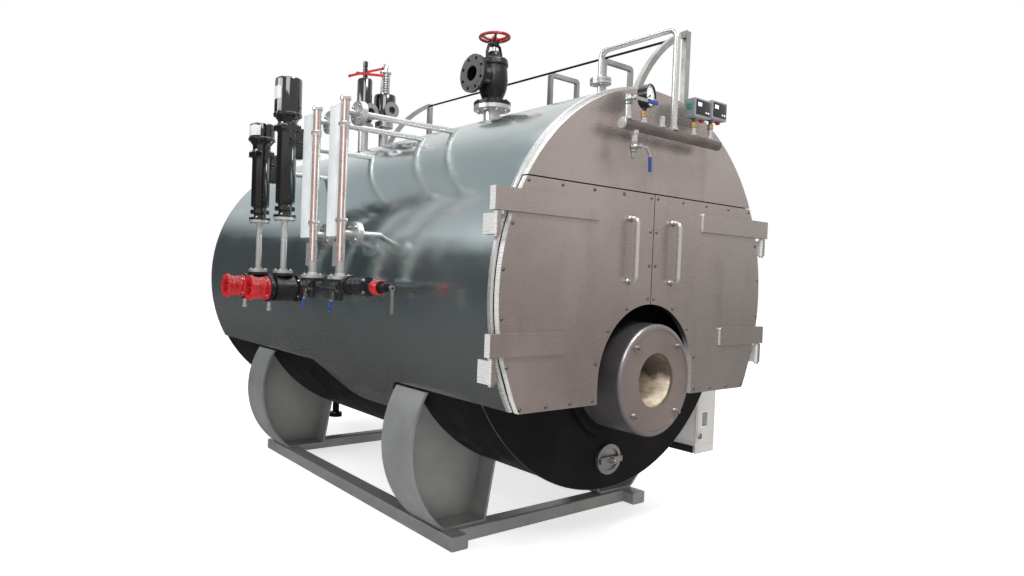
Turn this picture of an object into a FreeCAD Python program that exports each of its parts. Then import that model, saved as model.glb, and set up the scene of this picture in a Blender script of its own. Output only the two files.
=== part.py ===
"""Horizontal fire-tube boiler on a skid, ready for its burner. Millimetres; X right, Y to the rear, Z up."""
import FreeCAD, Part
import math
import os

os.makedirs("parts", exist_ok=True)

# overall sizes
AXIS_Z = 1110.0
SHELL_R = 850.0
SHELL_WALL = 12.0
LAGGING = 12.0
JACKET_R = SHELL_R + LAGGING
SEAT = 0.3
FRONT = -560.0
BODY_LENGTH = 2975.0
REAR = FRONT + BODY_LENGTH
MOVE_GAP = 5.0

# front plate and furnace
PLATE_FACE = FRONT + 190.0
PLATE_T = 16.0
PLATE_R = SHELL_R + 7.0
END_T = 24.0
FURNACE_Z = 764.0
FURNACE_R = 270.0
FURNACE_WALL = 10.0
FURNACE_LENGTH = 2300.0
RING_R = 285.0
RING_T = 20.0
DRUM_R = 235.0
DRUM_WALL = 6.0
DRUM_ROLL = 14.0
DRUM_FACE = FRONT - 45.0
BURNER_DISC_R = 211.0
BURNER_BORE_R = 114.0
BURNER_STUD_PCD = 390.0
BURNER_STUD_R = 8.0
LINING_R = 104.0

# doors and cap
DOOR_R = JACKET_R - 13.0
DOOR_T = 24.0
CAP_R = JACKET_R - 12.0
SEAM_Z = 1535.0
DOOR_BOTTOM_Z = 681.0
CHAMFER_TOP = (819.0, 881.0)
CHAMFER_BOTTOM = 740.0
CUTOUT_R = 314.0
STRAP_H = 82.0
STRAP_PROUD = 10.0
STRAP_BACK = 19.0
STRAP_END = JACKET_R + 28.0
STRAPS = ((1443.0, 343.0), (931.0, 517.0))
HINGE_X = JACKET_R + 4.0
PIN_GAP = 0.5
STEM_R = 5.0
STEM_LENGTH = 40.0
HINGE_Y = FRONT + 5.0
BARREL_R = 15.0
PIN_R = 9.7
BARRELS = ((1318.0, 1399.0), (796.0, 887.0))
HANDLE_X = (-152.0, 131.0)
HANDLE_Z = (1170.0, 1424.0)
HANDLE_ROD = 10.0
HANDLE_OUT = 34.0

# jacket edge over the black lower shell: distance behind the door face, height
JACKET_EDGE = ((-40, 683), (795, 683), (860, 640), (930, 556), (1010, 521), (1260, 521), (1350, 545),
               (1500, 640), (1600, 684), (3100, 686))

# skid
BEAM_OUT = 651.0
BEAM_IN = 557.0
BEAM_H = 62.0
BEAM_START = FRONT + 460.0
BEAM_END = FRONT + 2400.0
CROSS_W = 76.0
CROSS_FRONT = FRONT + 560.0
CROSS_REAR = FRONT + 2268.0
SADDLE_W = 226.0
SADDLES = (FRONT + 653.0, FRONT + 2231.0)
SADDLE_T = 12.0
SADDLE_CURVE = ((-752.0, 672.0), (-821.0, 430.0), (-632.0, BEAM_H))
SADDLE_INNER = ((-397.0, BEAM_H), (-335.0, 345.0))

# flanges: outside diameter, bolt circle, holes, hole diameter, thickness
DN80 = (200.0, 160.0, 8, 18.0, 20.0)
DN20 = (105.0, 75.0, 4, 14.0, 14.0)
DN15 = (95.0, 65.0, 4, 14.0, 12.0)

# steam outlet
STEAM_Y = FRONT + 1058.0
STEAM_FLANGE_Z = AXIS_Z + JACKET_R + 94.0
STEAM_SIDE_Z = STEAM_FLANGE_Z + 172.0
STEAM_SIDE_X = -150.0
STEAM_BORE = 40.0
STEAM_WALL = 4.5
VALVE_WALL = 14.0
WHEEL_Z = STEAM_SIDE_Z + 218.0
WHEEL_R = 87.0

# safety valves: x and height of the lower flange
SAFETY_Y = FRONT + 1850.0
SAFETY = ((-335.0, AXIS_Z + JACKET_R + 58.0), (-190.0, AXIS_Z + JACKET_R + 90.0))

# pipework to the gauge header
RISER_Y = FRONT + 316.0
RISER_TOP = AXIS_Z + JACKET_R + 235.0
RISER_R = 13.5
HEADER_Y = FRONT - 73.0
HEADER_Z = 1773.0
HEADER_R = 21.0
HEADER_X = (-327.0, 325.0)
GAUGE_X = -185.0
GAUGE_Z = 1897.0
GAUGE_R = 45.0
GAUGE_TURN = 12.0
COCK_X = -290.0
COCK_Z = 1868.0
DRAIN_X = -246.0
DRAIN_Z = 1690.0
COCK_ARM = ((0, 0), (70, 0), (132, 0))
DRAIN_ARM = ((0, 0), (34, 0), (56, -30), (60, -92))
SWITCH_X = ((103.0, 218.0), (226.0, 338.0))
SWITCH_Z = ((1864.0, 1942.0), (1874.0, 1952.0))

# level gauges and control columns
GAUGE_LINE = -(JACKET_R + 168.0)
TUBE_R = 19.0
TUBES = (FRONT + 815.0, FRONT + 1075.0)
TUBE_Z = (1150.0, 1918.0)
UPPER_Z = 1852.0
LOWER_Z = 1334.0
LINK_R = 13.5
LINK_FLANGE_X = GAUGE_LINE + 70.0
COLUMNS = (FRONT + 1400.0, FRONT + 1720.0)
COLUMN_CAPS = (2108.0, 1932.0)
FEED_Z = 1074.0
RAIL_X = 238.0
RAIL_Z = (AXIS_Z + JACKET_R + 273.0, AXIS_Z + JACKET_R + 316.0)
ARC_X = -94.0
ARC_MIDDLE = (28.0, RAIL_Z[0] - 112.0)
HOOP_W = 205.0


def V(x, y, z):
    return FreeCAD.Vector(x, y, z)


def box(x0, x1, y0, y1, z0, z1):
    return Part.makeBox(x1 - x0, y1 - y0, z1 - z0, V(x0, y0, z0))


def rod_x(r, x0, x1, y, z):
    return Part.makeCylinder(r, x1 - x0, V(x0, y, z), V(1, 0, 0))


def rod_y(r, y0, y1, x, z):
    return Part.makeCylinder(r, y1 - y0, V(x, y0, z), V(0, 1, 0))


def rod_z(r, z0, z1, x, y):
    return Part.makeCylinder(r, z1 - z0, V(x, y, z0), V(0, 0, 1))


def fuse(*shapes):
    first = shapes[0]
    whole = first.multiFuse(list(shapes[1:])) if len(shapes) > 1 else first
    return whole.removeSplitter()


def mirrored(shape):
    return shape.mirror(V(0, 0, 0), V(1, 0, 0))


def extrude_xz(points, y0, y1):
    corners = [V(x, y0, z) for x, z in points]
    face = Part.Face(Part.makePolygon(corners + corners[:1]))
    return face.extrude(V(0, y1 - y0, 0))


def extrude_yz(points, x0, x1):
    corners = [V(x0, y, z) for y, z in points]
    face = Part.Face(Part.makePolygon(corners + corners[:1]))
    return face.extrude(V(x1 - x0, 0, 0))


def bent_rod(points, r, bend, square=False):
    """A round or square bar along a line with rounded corners."""
    points = [V(*p) for p in points]
    edges = []
    start = points[0]
    for before, corner, after in zip(points, points[1:], points[2:]):
        a = (before - corner).normalize()
        b = (after - corner).normalize()
        half = a.getAngle(b) / 2
        back = bend / math.tan(half)
        p = corner + a * back
        q = corner + b * back
        middle = (a + b).normalize()
        centre = corner + middle * (bend / math.sin(half))
        edges.append(Part.LineSegment(start, p).toShape())
        edges.append(Part.Arc(p, centre - middle * bend, q).toShape())
        start = q
    edges.append(Part.LineSegment(start, points[-1]).toShape())
    path = Part.Wire(edges)
    along = (points[1] - points[0]).normalize()
    if square:
        side = V(0, 1, 0) if abs(along.y) < 0.9 else V(1, 0, 0)
        up = along.cross(side)
        ring = [points[0] + side * (r * i) + up * (r * j) for i, j in ((1, 1), (-1, 1), (-1, -1), (1, -1))]
        profile = Part.makePolygon(ring + ring[:1])
    else:
        profile = Part.Wire(Part.makeCircle(r, points[0], along))
    return path.makePipeShell([profile], True, True)


def flange(kind, x, y, z, axis, bore=None):
    """A flange whose face is at the point, its body behind it along the axis."""
    outside, circle, count, hole, thick = kind
    axis = V(*axis)
    side = V(0, 0, 1) if abs(axis.z) < 0.5 else V(1, 0, 0)
    body = Part.makeCylinder(outside / 2, thick, V(x, y, z), axis)
    for i in range(count):
        turn = FreeCAD.Rotation(axis, 360.0 * (i + 0.5) / count)
        at = V(x, y, z) + turn.multVec(side) * (circle / 2)
        body = body.cut(Part.makeCylinder(hole / 2, thick, at, axis))
    if bore:
        body = body.cut(Part.makeCylinder(bore, thick, V(x, y, z), axis))
    return body


def plain_disc(r, thick, x, y, z, axis):
    return Part.makeCylinder(r, thick, V(x, y, z), V(*axis))


def shell_top(x, r):
    return AXIS_Z + math.sqrt(r * r - x * x)


def shell_side(z, r):
    return math.sqrt(r * r - (z - AXIS_Z) ** 2)


def export(name, shape):
    shape.exportStep("parts/" + name + ".step")


def shell_cylinder(r):
    return rod_y(r, FRONT - 400, REAR + 400, 0, AXIS_Z)


# ---- shell, ends and furnace

def pressure_shell():
    y0 = PLATE_FACE + PLATE_T
    y1 = REAR - END_T
    tube = rod_y(SHELL_R, y0, y1, 0, AXIS_Z)
    return tube.cut(rod_y(SHELL_R - SHELL_WALL, y0, y1, 0, AXIS_Z))


def rear_end_plate():
    plate = rod_y(SHELL_R, REAR - END_T, REAR, 0, AXIS_Z)
    return plate.cut(rod_y(FLUE_R - 6, REAR - END_T, REAR, 0, FLUE_Z))


FLUE_R = 160.0
FLUE_Z = 1500.0
FLUE_OUT = 110.0


def flue_outlet():
    tube = rod_y(FLUE_R, REAR, REAR + FLUE_OUT, 0, FLUE_Z)
    collar = rod_y(FLUE_R + 40, REAR + FLUE_OUT - 10, REAR + FLUE_OUT, 0, FLUE_Z)
    whole = fuse(tube, collar)
    whole = whole.cut(rod_y(FLUE_R - 6, REAR, REAR + FLUE_OUT, 0, FLUE_Z))
    for i in range(12):
        a = math.radians(30 * i + 15)
        x = (FLUE_R + 22) * math.cos(a)
        z = FLUE_Z + (FLUE_R + 22) * math.sin(a)
        whole = whole.cut(rod_y(7, REAR + FLUE_OUT - 10, REAR + FLUE_OUT, x, z))
    return whole


def bottom_drain():
    y = FRONT + 2690
    pipe = rod_z(24, 110, AXIS_Z - SHELL_R + 6, 0, y)
    ends = [rod_z(46, 96, 110, 0, y), rod_z(46, 111, 125, 0, y), rod_z(20, 96, 115, 0, y)]
    return fuse(pipe, *ends).cut(shell_cylinder(SHELL_R + SEAT))


def rear_cover():
    disc = rod_y(230, REAR, REAR + 14, 0, FURNACE_Z)
    boss = rod_y(60, REAR, REAR + 34, 0, FURNACE_Z)
    return fuse(disc, boss)


HANDHOLE_Z = 382.0
HANDHOLE = (66.0, 55.0)


def ellipse_y(a, b, y0, y1, z):
    major = max(a, b)
    minor = min(a, b)
    curve = Part.Ellipse(V(0, 0, 0), major, minor)
    wire = Part.Wire(curve.toShape())
    face = Part.Face(wire)
    if b > a:
        face.rotate(V(0, 0, 0), V(0, 0, 1), 90)
    face.rotate(V(0, 0, 0), V(1, 0, 0), 90)
    face.translate(V(0, y0, z))
    return face.extrude(V(0, y1 - y0, 0))


def front_plate():
    plate = rod_y(PLATE_R, PLATE_FACE, PLATE_FACE + PLATE_T, 0, AXIS_Z)
    plate = plate.cut(rod_y(FURNACE_R - FURNACE_WALL, PLATE_FACE, PLATE_FACE + PLATE_T, 0, FURNACE_Z))
    return plate.cut(ellipse_y(*HANDHOLE, PLATE_FACE - 1, PLATE_FACE + PLATE_T + 1, HANDHOLE_Z))


def handhole_cover():
    a, b = HANDHOLE
    ring = ellipse_y(a + 12, b + 12, PLATE_FACE - 12, PLATE_FACE, HANDHOLE_Z)
    ring = ring.cut(ellipse_y(a - 4, b - 4, PLATE_FACE - 13, PLATE_FACE - 4, HANDHOLE_Z))
    bolt = rod_y(9, PLATE_FACE - 46, PLATE_FACE, 0, HANDHOLE_Z)
    nut = rod_y(15, PLATE_FACE - 38, PLATE_FACE - 24, 0, HANDHOLE_Z)
    yoke = box(-a - 6, a + 6, PLATE_FACE - 26, PLATE_FACE - 14, HANDHOLE_Z - 12, HANDHOLE_Z + 12)
    ends = [box(s * a - 6, s * a + 6, PLATE_FACE - 20, PLATE_FACE - 5, HANDHOLE_Z - 12, HANDHOLE_Z + 12)
            for s in (-1, 1)]
    return fuse(ring, bolt, nut, yoke, *ends)


def furnace_tube():
    y0 = PLATE_FACE + PLATE_T + SEAT
    y1 = y0 + FURNACE_LENGTH
    tube = rod_y(FURNACE_R, y0, y1, 0, FURNACE_Z)
    return tube.cut(rod_y(FURNACE_R - FURNACE_WALL, y0 - 1, y1 - FURNACE_WALL, 0, FURNACE_Z))


def furnace_ring():
    ring = rod_y(RING_R, PLATE_FACE - RING_T, PLATE_FACE, 0, FURNACE_Z)
    return ring.cut(rod_y(DRUM_R + SEAT, PLATE_FACE - RING_T, PLATE_FACE, 0, FURNACE_Z))


def burner_drum():
    tube = rod_y(DRUM_R, DRUM_FACE, PLATE_FACE, 0, FURNACE_Z)
    rim = [e for e in tube.Edges if e.Length > 100 and abs(e.CenterOfMass.y - DRUM_FACE) < 1]
    tube = tube.makeFillet(DRUM_ROLL, rim)
    tube = tube.cut(rod_y(DRUM_R - DRUM_WALL, DRUM_FACE + DRUM_ROLL, PLATE_FACE, 0, FURNACE_Z))
    return tube.cut(rod_y(BURNER_DISC_R + SEAT, DRUM_FACE - 1, DRUM_FACE + DRUM_ROLL + 1, 0, FURNACE_Z))


def burner_studs():
    r = BURNER_STUD_PCD / 2
    return [(r * math.cos(math.radians(a)), FURNACE_Z + r * math.sin(math.radians(a)))
            for a in (45, 135, 225, 315)]


def burner_plate():
    face = DRUM_FACE + 2
    disc = rod_y(BURNER_DISC_R, face, face + 12, 0, FURNACE_Z)
    studs = [rod_y(BURNER_STUD_R, face - 24, face + 1, x, z) for x, z in burner_studs()]
    whole = fuse(disc, *studs)
    return whole.cut(rod_y(BURNER_BORE_R, face - 1, face + 13, 0, FURNACE_Z))


def throat_lining():
    y0 = DRUM_FACE + DRUM_ROLL + SEAT
    y1 = PLATE_FACE - 2
    ring = rod_y(DRUM_R - DRUM_WALL - SEAT, y0, y1, 0, FURNACE_Z)
    return ring.cut(rod_y(LINING_R, y0 - 1, y1 + 1, 0, FURNACE_Z))


# ---- jacket, cap and doors

def jacket():
    y0 = FRONT + DOOR_T + MOVE_GAP
    tube = rod_y(JACKET_R, y0, REAR, 0, AXIS_Z)
    tube = tube.cut(rod_y(SHELL_R + SEAT, y0 - 1, REAR + 1, 0, AXIS_Z))
    below = [(FRONT + d, z) for d, z in JACKET_EDGE]
    below = below + [(FRONT + JACKET_EDGE[-1][0], 0), (FRONT + JACKET_EDGE[0][0], 0)]
    tube = tube.cut(extrude_yz(below, -JACKET_R - 38, JACKET_R + 38))
    tube = tube.cut(rod_y(PLATE_R + SEAT, PLATE_FACE - SEAT, PLATE_FACE + PLATE_T + SEAT, 0, AXIS_Z))
    for x, y, r in ((0, STEAM_Y, STEAM_BORE + STEAM_WALL), (0, RISER_Y, RISER_R)):
        tube = tube.cut(rod_z(r + SEAT, AXIS_Z, AXIS_Z + JACKET_R + 38, x, y))
    for x, z in SAFETY:
        tube = tube.cut(rod_z(30 + SEAT, AXIS_Z, AXIS_Z + JACKET_R + 38, x, SAFETY_Y))
    for y in TUBES:
        for z in (UPPER_Z, LOWER_Z):
            tube = tube.cut(rod_x(LINK_R + SEAT, -JACKET_R - 38, 0, y, z))
    return tube


def front_disc(r, y0, y1, z0, z1):
    slab = box(-r - 1, r + 1, y0, y1, z0, z1)
    return rod_y(r, y0, y1, 0, AXIS_Z).common(slab)


def cap_plate():
    z0 = SEAM_Z + MOVE_GAP
    face = front_disc(CAP_R, FRONT, FRONT + DOOR_T, z0, AXIS_Z + CAP_R + 140)
    rim = front_disc(CAP_R, FRONT + DOOR_T - 1, FRONT + 70, z0, AXIS_Z + CAP_R + 140)
    rim = rim.cut(rod_y(CAP_R - 10, FRONT + DOOR_T - 2, FRONT + 71, 0, AXIS_Z))
    return fuse(face, rim)


def sill(side):
    z0 = JACKET_EDGE[0][1] + SEAT
    x0 = CUTOUT_R + 6
    x1 = shell_side(z0, SHELL_R)
    plate = box(x0, x1, FRONT + DOOR_T + MOVE_GAP, PLATE_FACE - SEAT, z0, z0 + 5)
    return plate if side > 0 else mirrored(plate)


def handle(x):
    y0 = FRONT + 1
    y1 = FRONT - HANDLE_OUT
    z0, z1 = HANDLE_Z
    path = ((x, y0, z0), (x, y1, z0), (x, y1, z1), (x, y0, z1))
    return bent_rod(path, HANDLE_ROD, 20)


def strap(height, inner):
    z0 = height - STRAP_H / 2
    z1 = height + STRAP_H / 2
    bar = box(-STRAP_END, -inner, FRONT - STRAP_PROUD, FRONT + 1, z0, z1)
    ends = [e for e in bar.Edges
            if abs(e.Vertexes[0].Point.x + inner) < 0.1 and abs(e.Vertexes[1].Point.x + inner) < 0.1
            and abs(e.Vertexes[0].Point.z - e.Vertexes[1].Point.z) < 0.1]
    bar = bar.makeFillet(9, ends)
    end = box(-STRAP_END, -shell_side(height, DOOR_R) + 30, FRONT - STRAP_PROUD, FRONT + STRAP_BACK, z0, z1)
    return fuse(bar, end)


def door_left():
    slab = front_disc(DOOR_R, FRONT, FRONT + DOOR_T, DOOR_BOTTOM_Z, SEAM_Z)
    slab = slab.common(box(-DOOR_R - 51, -MOVE_GAP / 2, FRONT, FRONT + DOOR_T, 0, 3000))
    corner = extrude_xz(((-CHAMFER_TOP[0], CHAMFER_TOP[1]), (-CHAMFER_BOTTOM, DOOR_BOTTOM_Z),
                         (-CHAMFER_BOTTOM, 600), (-950, 600), (-950, CHAMFER_TOP[1])), FRONT - 1, FRONT + DOOR_T + 1)
    slab = slab.cut(corner)
    slab = slab.cut(rod_y(CUTOUT_R, FRONT - 1, FRONT + DOOR_T + 1, 0, FURNACE_Z))
    slab = slab.cut(box(-CUTOUT_R, CUTOUT_R, FRONT - 1, FRONT + DOOR_T + 1, 600, FURNACE_Z))
    pieces = [slab]
    for (height, inner), (z0, z1) in zip(STRAPS, BARRELS):
        pieces.append(strap(height, inner))
        pieces.append(rod_z(PIN_R, z0 - 8, height, -HINGE_X, HINGE_Y))
    return fuse(*pieces)


def doors():
    plain = door_left()
    left = fuse(plain, handle(HANDLE_X[0]))
    right = fuse(mirrored(plain), handle(HANDLE_X[1]))
    return left, right


def hinge_bracket(z0, z1):
    barrel = rod_z(BARREL_R, z0, z1, -HINGE_X, HINGE_Y)
    arm = box(-HINGE_X - 15, -HINGE_X + 13, HINGE_Y, FRONT + 62, z0, z1 - 8)
    gusset = box(-HINGE_X, -HINGE_X + 86, FRONT + 32, FRONT + 44, z0, z1 - 8)
    whole = fuse(barrel, arm, gusset)
    whole = whole.cut(shell_cylinder(JACKET_R + SEAT))
    return whole.cut(rod_z(PIN_R + PIN_GAP, z0 - 1, z1 + 1, -HINGE_X, HINGE_Y))


def hinge_brackets():
    left = [hinge_bracket(z0, z1) for z0, z1 in BARRELS]
    return Part.makeCompound(left + [mirrored(b) for b in left])


# ---- skid

def capped_bar(x0, x1, y0, y1, z0, z1, along):
    """A square tube closed at both ends, made solid."""
    bar = box(x0, x1, y0, y1, z0, z1)
    edges = [e for e in bar.Edges if abs(e.tangentAt(0).dot(V(*along))) > 0.9]
    return bar.makeFillet(8, edges)


def skid_beams():
    left = capped_bar(-BEAM_OUT, -BEAM_IN, BEAM_START, BEAM_END, 0, BEAM_H, (0, 1, 0))
    return Part.makeCompound([left, mirrored(left)])


def cross_beam(y):
    x = BEAM_IN - SEAT
    return capped_bar(-x, x, y - CROSS_W / 2, y + CROSS_W / 2, 0, BEAM_H, (1, 0, 0))


def saddle_left(y):
    y0 = y - SADDLE_W / 2
    y1 = y + SADDLE_W / 2
    top, bulge, foot = [V(x, 0, z) for x, z in SADDLE_CURVE]
    curve = Part.Arc(top, bulge, foot).toShape().Curve
    centre = curve.Center
    r = curve.Radius
    band = rod_y(r, y0, y1, centre.x, centre.z).cut(rod_y(r - SADDLE_T, y0, y1, centre.x, centre.z))
    band = band.common(box(-900, centre.x, y0, y1, BEAM_H + SEAT, top.z))
    (xa, za), (xb, zb) = SADDLE_INNER
    inner = extrude_xz(((xa, BEAM_H + SEAT), (xa + SADDLE_T, BEAM_H + SEAT),
                        (xb + SADDLE_T, zb + 60), (xb, zb + 60)), y0 + 8, y1 - 8)
    base = box(foot.x, xa + 4, y0, y1, BEAM_H + SEAT, BEAM_H + SADDLE_T)
    inside = rod_y(r - 4, y - 6, y + 6, centre.x, centre.z)
    region = extrude_xz(((-900, BEAM_H + SEAT), (xa + 4, BEAM_H + SEAT), (xb + 4, zb + 60), (xb + 4, top.z),
                         (-900, top.z)), y - 6, y + 6)
    web = inside.common(region)
    whole = fuse(band, inner, base, web)
    return whole.cut(shell_cylinder(SHELL_R + SEAT))


def saddle_pair(y):
    left = saddle_left(y)
    return [left, mirrored(left)]


# ---- steam outlet

def steam_nozzle():
    pipe = rod_z(STEAM_BORE + STEAM_WALL, shell_top(0, SHELL_R) + SEAT, STEAM_FLANGE_Z + 20, 0, STEAM_Y)
    plate = flange(DN80, 0, STEAM_Y, STEAM_FLANGE_Z, (0, 0, 1))
    whole = fuse(pipe, plate)
    return whole.cut(rod_z(STEAM_BORE, 1900, STEAM_FLANGE_Z + 30, 0, STEAM_Y))


def steam_valve_body():
    z0 = STEAM_FLANGE_Z + 20 + SEAT
    inlet = flange(DN80, 0, STEAM_Y, z0, (0, 0, 1))
    neck = rod_z(STEAM_BORE + VALVE_WALL, z0, STEAM_SIDE_Z, 0, STEAM_Y)
    ball = Part.makeSphere(72, V(0, STEAM_Y, STEAM_SIDE_Z - 8))
    branch = rod_x(STEAM_BORE + VALVE_WALL, STEAM_SIDE_X, 0, STEAM_Y, STEAM_SIDE_Z)
    outlet = flange(DN80, STEAM_SIDE_X, STEAM_Y, STEAM_SIDE_Z, (1, 0, 0))
    top = rod_z(60, STEAM_SIDE_Z, STEAM_SIDE_Z + 92, 0, STEAM_Y)
    collar = rod_z(72, STEAM_SIDE_Z + 70, STEAM_SIDE_Z + 104, 0, STEAM_Y)
    whole = fuse(neck, ball, branch, top, collar, inlet, outlet)
    whole = whole.cut(rod_x(STEAM_BORE, STEAM_SIDE_X - 1, 0, STEAM_Y, STEAM_SIDE_Z))
    return whole.cut(rod_z(STEAM_BORE, z0 - 1, STEAM_SIDE_Z + 30, 0, STEAM_Y))


def steam_valve_yoke():
    z0 = STEAM_SIDE_Z + 104
    z1 = WHEEL_Z - 34
    base = rod_z(40, z0, z0 + 14, 0, STEAM_Y)
    legs = [rod_z(8, z0 + 8, z1, s * 28, STEAM_Y) for s in (-1, 1)]
    head = box(-40, 40, STEAM_Y - 16, STEAM_Y + 16, z1 - 14, z1)
    whole = fuse(base, head, *legs)
    return whole.cut(rod_z(11, z0 - 1, z1 + 1, 0, STEAM_Y))


def steam_handwheel():
    stem = rod_z(10, STEAM_SIDE_Z + 110, WHEEL_Z + 16, 0, STEAM_Y)
    hub = rod_z(20, WHEEL_Z - 20, WHEEL_Z + 6, 0, STEAM_Y)
    rim = Part.makeTorus(WHEEL_R - 9, 9, V(0, STEAM_Y, WHEEL_Z))
    pieces = [stem, hub, rim]
    for a in (0, 90, 180, 270):
        spoke = Part.makeCylinder(6, WHEEL_R - 20, V(12, STEAM_Y, WHEEL_Z - 6), V(1, 0, 0.07))
        spoke.rotate(V(0, STEAM_Y, 0), V(0, 0, 1), a + 45)
        pieces.append(spoke)
    return fuse(*pieces)


# ---- safety valves

def safety_valve(x, z0, closed):
    """A closed bonnet hides the spring of one valve; two posts show that of the other."""
    y = SAFETY_Y
    base = z0 + 16 + SEAT
    lower = [rod_z(30, shell_top(x, SHELL_R) + 8, z0, x, y), rod_z(56, z0, z0 + 16, x, y)]
    flange_top = rod_z(56, base - SEAT, base + 16, x, y)
    if closed:
        body = rod_z(50, z0 + 45, z0 + 140, x, y)
        bonnet = [rod_z(56, z0 + 126, z0 + 142, x, y), rod_z(46, z0 + 140, z0 + 305, x, y)]
        cap = rod_z(15, z0 + 300, z0 + 412, x, y)
    else:
        body = rod_z(68, z0 + 58, z0 + 200, x, y)
        bonnet = [rod_z(9, z0 + 190, z0 + 345, x + k * 24, y) for k in (-1, 1)]
        bonnet += [rod_z(12, z0 + 190, z0 + 345, x, y), box(x - 34, x + 34, y - 14, y + 14, z0 + 330, z0 + 346)]
        cap = rod_z(15, z0 + 340, z0 + 392, x, y)
    core = rod_z(34, z0, z0 + 80, x, y)
    branch = rod_y(30, y - 84, y, x, z0 + 95)
    mouth = rod_y(50, y - 88, y - 74, x, z0 + 95)
    whole = fuse(*lower, flange_top, core, body, branch, mouth, cap, *bonnet)
    whole = whole.cut(shell_cylinder(SHELL_R + SEAT))
    return whole.cut(rod_y(22, y - 90, y - 20, x, z0 + 95))


def safety_valves():
    return Part.makeCompound([safety_valve(*SAFETY[0], True), safety_valve(*SAFETY[1], False)])


LEVER_UP = (330.0, 372.0)
LEVER_REACH = ((-70.0, 113.0), (-253.0, 18.0))
LEVER_LEAN = (6.0, 21.0)
LEVER_SIDE = (-26.0, 26.0)


def safety_lever(index):
    x, z0 = SAFETY[index]
    z = z0 + LEVER_UP[index]
    y = SAFETY_Y + LEVER_SIDE[index]
    low, high = LEVER_REACH[index]
    bar = box(x + low, x + high, y - 4, y + 4, z - 7, z + 7)
    bar = fuse(bar, rod_y(9, y - 6, y + 6, x + low, z), rod_y(11, y - 5, y + 5, x, z))
    bar.rotate(V(x, y, z), V(0, 1, 0), -LEVER_LEAN[index])
    pin = rod_y(4.5, min(y, SAFETY_Y), max(y, SAFETY_Y), x, z)
    return fuse(bar, pin)


def lever_sockets(valves):
    for (x, z0), up in zip(SAFETY, LEVER_UP):
        valves = valves.cut(rod_y(4.5 + PIN_GAP, SAFETY_Y - 60, SAFETY_Y + 60, x, z0 + up))
    return valves


# ---- gauge header

def riser_pipe():
    top = RISER_TOP
    foot = shell_top(0, SHELL_R) + SEAT
    path = ((0, RISER_Y, foot), (0, RISER_Y, top), (0, HEADER_Y, top), (0, HEADER_Y, HEADER_Z + HEADER_R + SEAT))
    pipe = bent_rod(path, RISER_R, 38)
    lower = rod_z(DN15[0] / 2, RISER_TOP - 151, RISER_TOP - 139, 0, RISER_Y)
    upper = rod_z(DN15[0] / 2, RISER_TOP - 137, RISER_TOP - 125, 0, RISER_Y)
    return fuse(pipe, lower, upper)


def gauge_header():
    x0, x1 = HEADER_X
    z1 = HEADER_Z + HEADER_R
    pieces = [rod_x(HEADER_R, x0, x1, HEADER_Y, HEADER_Z)]
    pieces.append(rod_z(11, HEADER_Z, COCK_Z - 18, COCK_X, HEADER_Y))
    pieces.append(rod_z(8, HEADER_Z, GAUGE_Z - GAUGE_R - 10, GAUGE_X - 6, HEADER_Y))
    pieces.append(rod_z(10, HEADER_Z, HEADER_Z + 62, -78, HEADER_Y))
    for (xa, xb), (za, zb) in zip(SWITCH_X, SWITCH_Z):
        pieces.append(rod_z(8, HEADER_Z, za - SEAT, (xa + xb) / 2 - 22, HEADER_Y))
    pieces.append(rod_z(11, DRAIN_Z + 18, HEADER_Z, DRAIN_X, HEADER_Y))
    return fuse(*pieces)


def pressure_gauge():
    y0 = HEADER_Y - 20
    case = rod_y(GAUGE_R, y0, HEADER_Y + 16, GAUGE_X, GAUGE_Z)
    case = case.cut(rod_y(GAUGE_R - 4, y0 - 1, y0 + 5, GAUGE_X, GAUGE_Z))
    case.rotate(V(GAUGE_X, HEADER_Y, GAUGE_Z), V(0, 0, 1), GAUGE_TURN)
    stem = rod_z(8, GAUGE_Z - GAUGE_R - 10 + SEAT, GAUGE_Z - GAUGE_R + 8, GAUGE_X - 6, HEADER_Y)
    return fuse(case, stem)


def pressure_switches():
    boxes = []
    for (xa, xb), (za, zb) in zip(SWITCH_X, SWITCH_Z):
        body = box(xa, xb, HEADER_Y - 27, HEADER_Y + 23, za, zb)
        boxes.append(body.makeChamfer(3, body.Edges))
    return Part.makeCompound(boxes)


def ball_valve_body(x, y, z, stem):
    body = rod_z(14, z - 18 + SEAT, z + 18, x, y)
    middle = Part.makeSphere(17, V(x, y, z))
    stem = V(*stem)
    neck = Part.makeCylinder(STEM_R, STEM_LENGTH, V(x, y, z), stem)
    return fuse(body, middle, neck)


def front_handle(x, z, path, width):
    """A flat lever on a stem that points to the front: a bare arm, then a thicker grip."""
    y = HEADER_Y - STEM_LENGTH + 6
    pieces = [rod_y(10, y - 4, y + 4, 0, 0)]
    for i, ((xa, za), (xb, zb)) in enumerate(zip(path, path[1:])):
        last = i == len(path) - 2
        half, thick = (width / 2, 5) if last else (width / 2 - 1, 2.5)
        length = math.hypot(xb - xa, zb - za)
        bar = box(0, length, y - thick, y + thick, -half, half)
        bar = bar.makeChamfer(1.5, bar.Edges) if last else fuse(bar, rod_y(half, y - 2.5, y + 2.5, length, 0))
        bar.rotate(V(0, 0, 0), V(0, 1, 0), -math.degrees(math.atan2(zb - za, xb - xa)))
        bar.translate(V(xa, 0, za))
        pieces.append(bar)
    lever = fuse(*pieces).cut(rod_y(STEM_R + PIN_GAP, y - 6, y + 6, 0, 0))
    lever.translate(V(x, 0, z))
    return lever


def header_cock():
    return ball_valve_body(COCK_X, HEADER_Y, COCK_Z, (0, -1, 0))


def drain_cock():
    tail = rod_z(9, DRAIN_Z - 42, DRAIN_Z, DRAIN_X, HEADER_Y)
    return fuse(ball_valve_body(DRAIN_X, HEADER_Y, DRAIN_Z, (0, -1, 0)), tail)


# ---- level gauges

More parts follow.
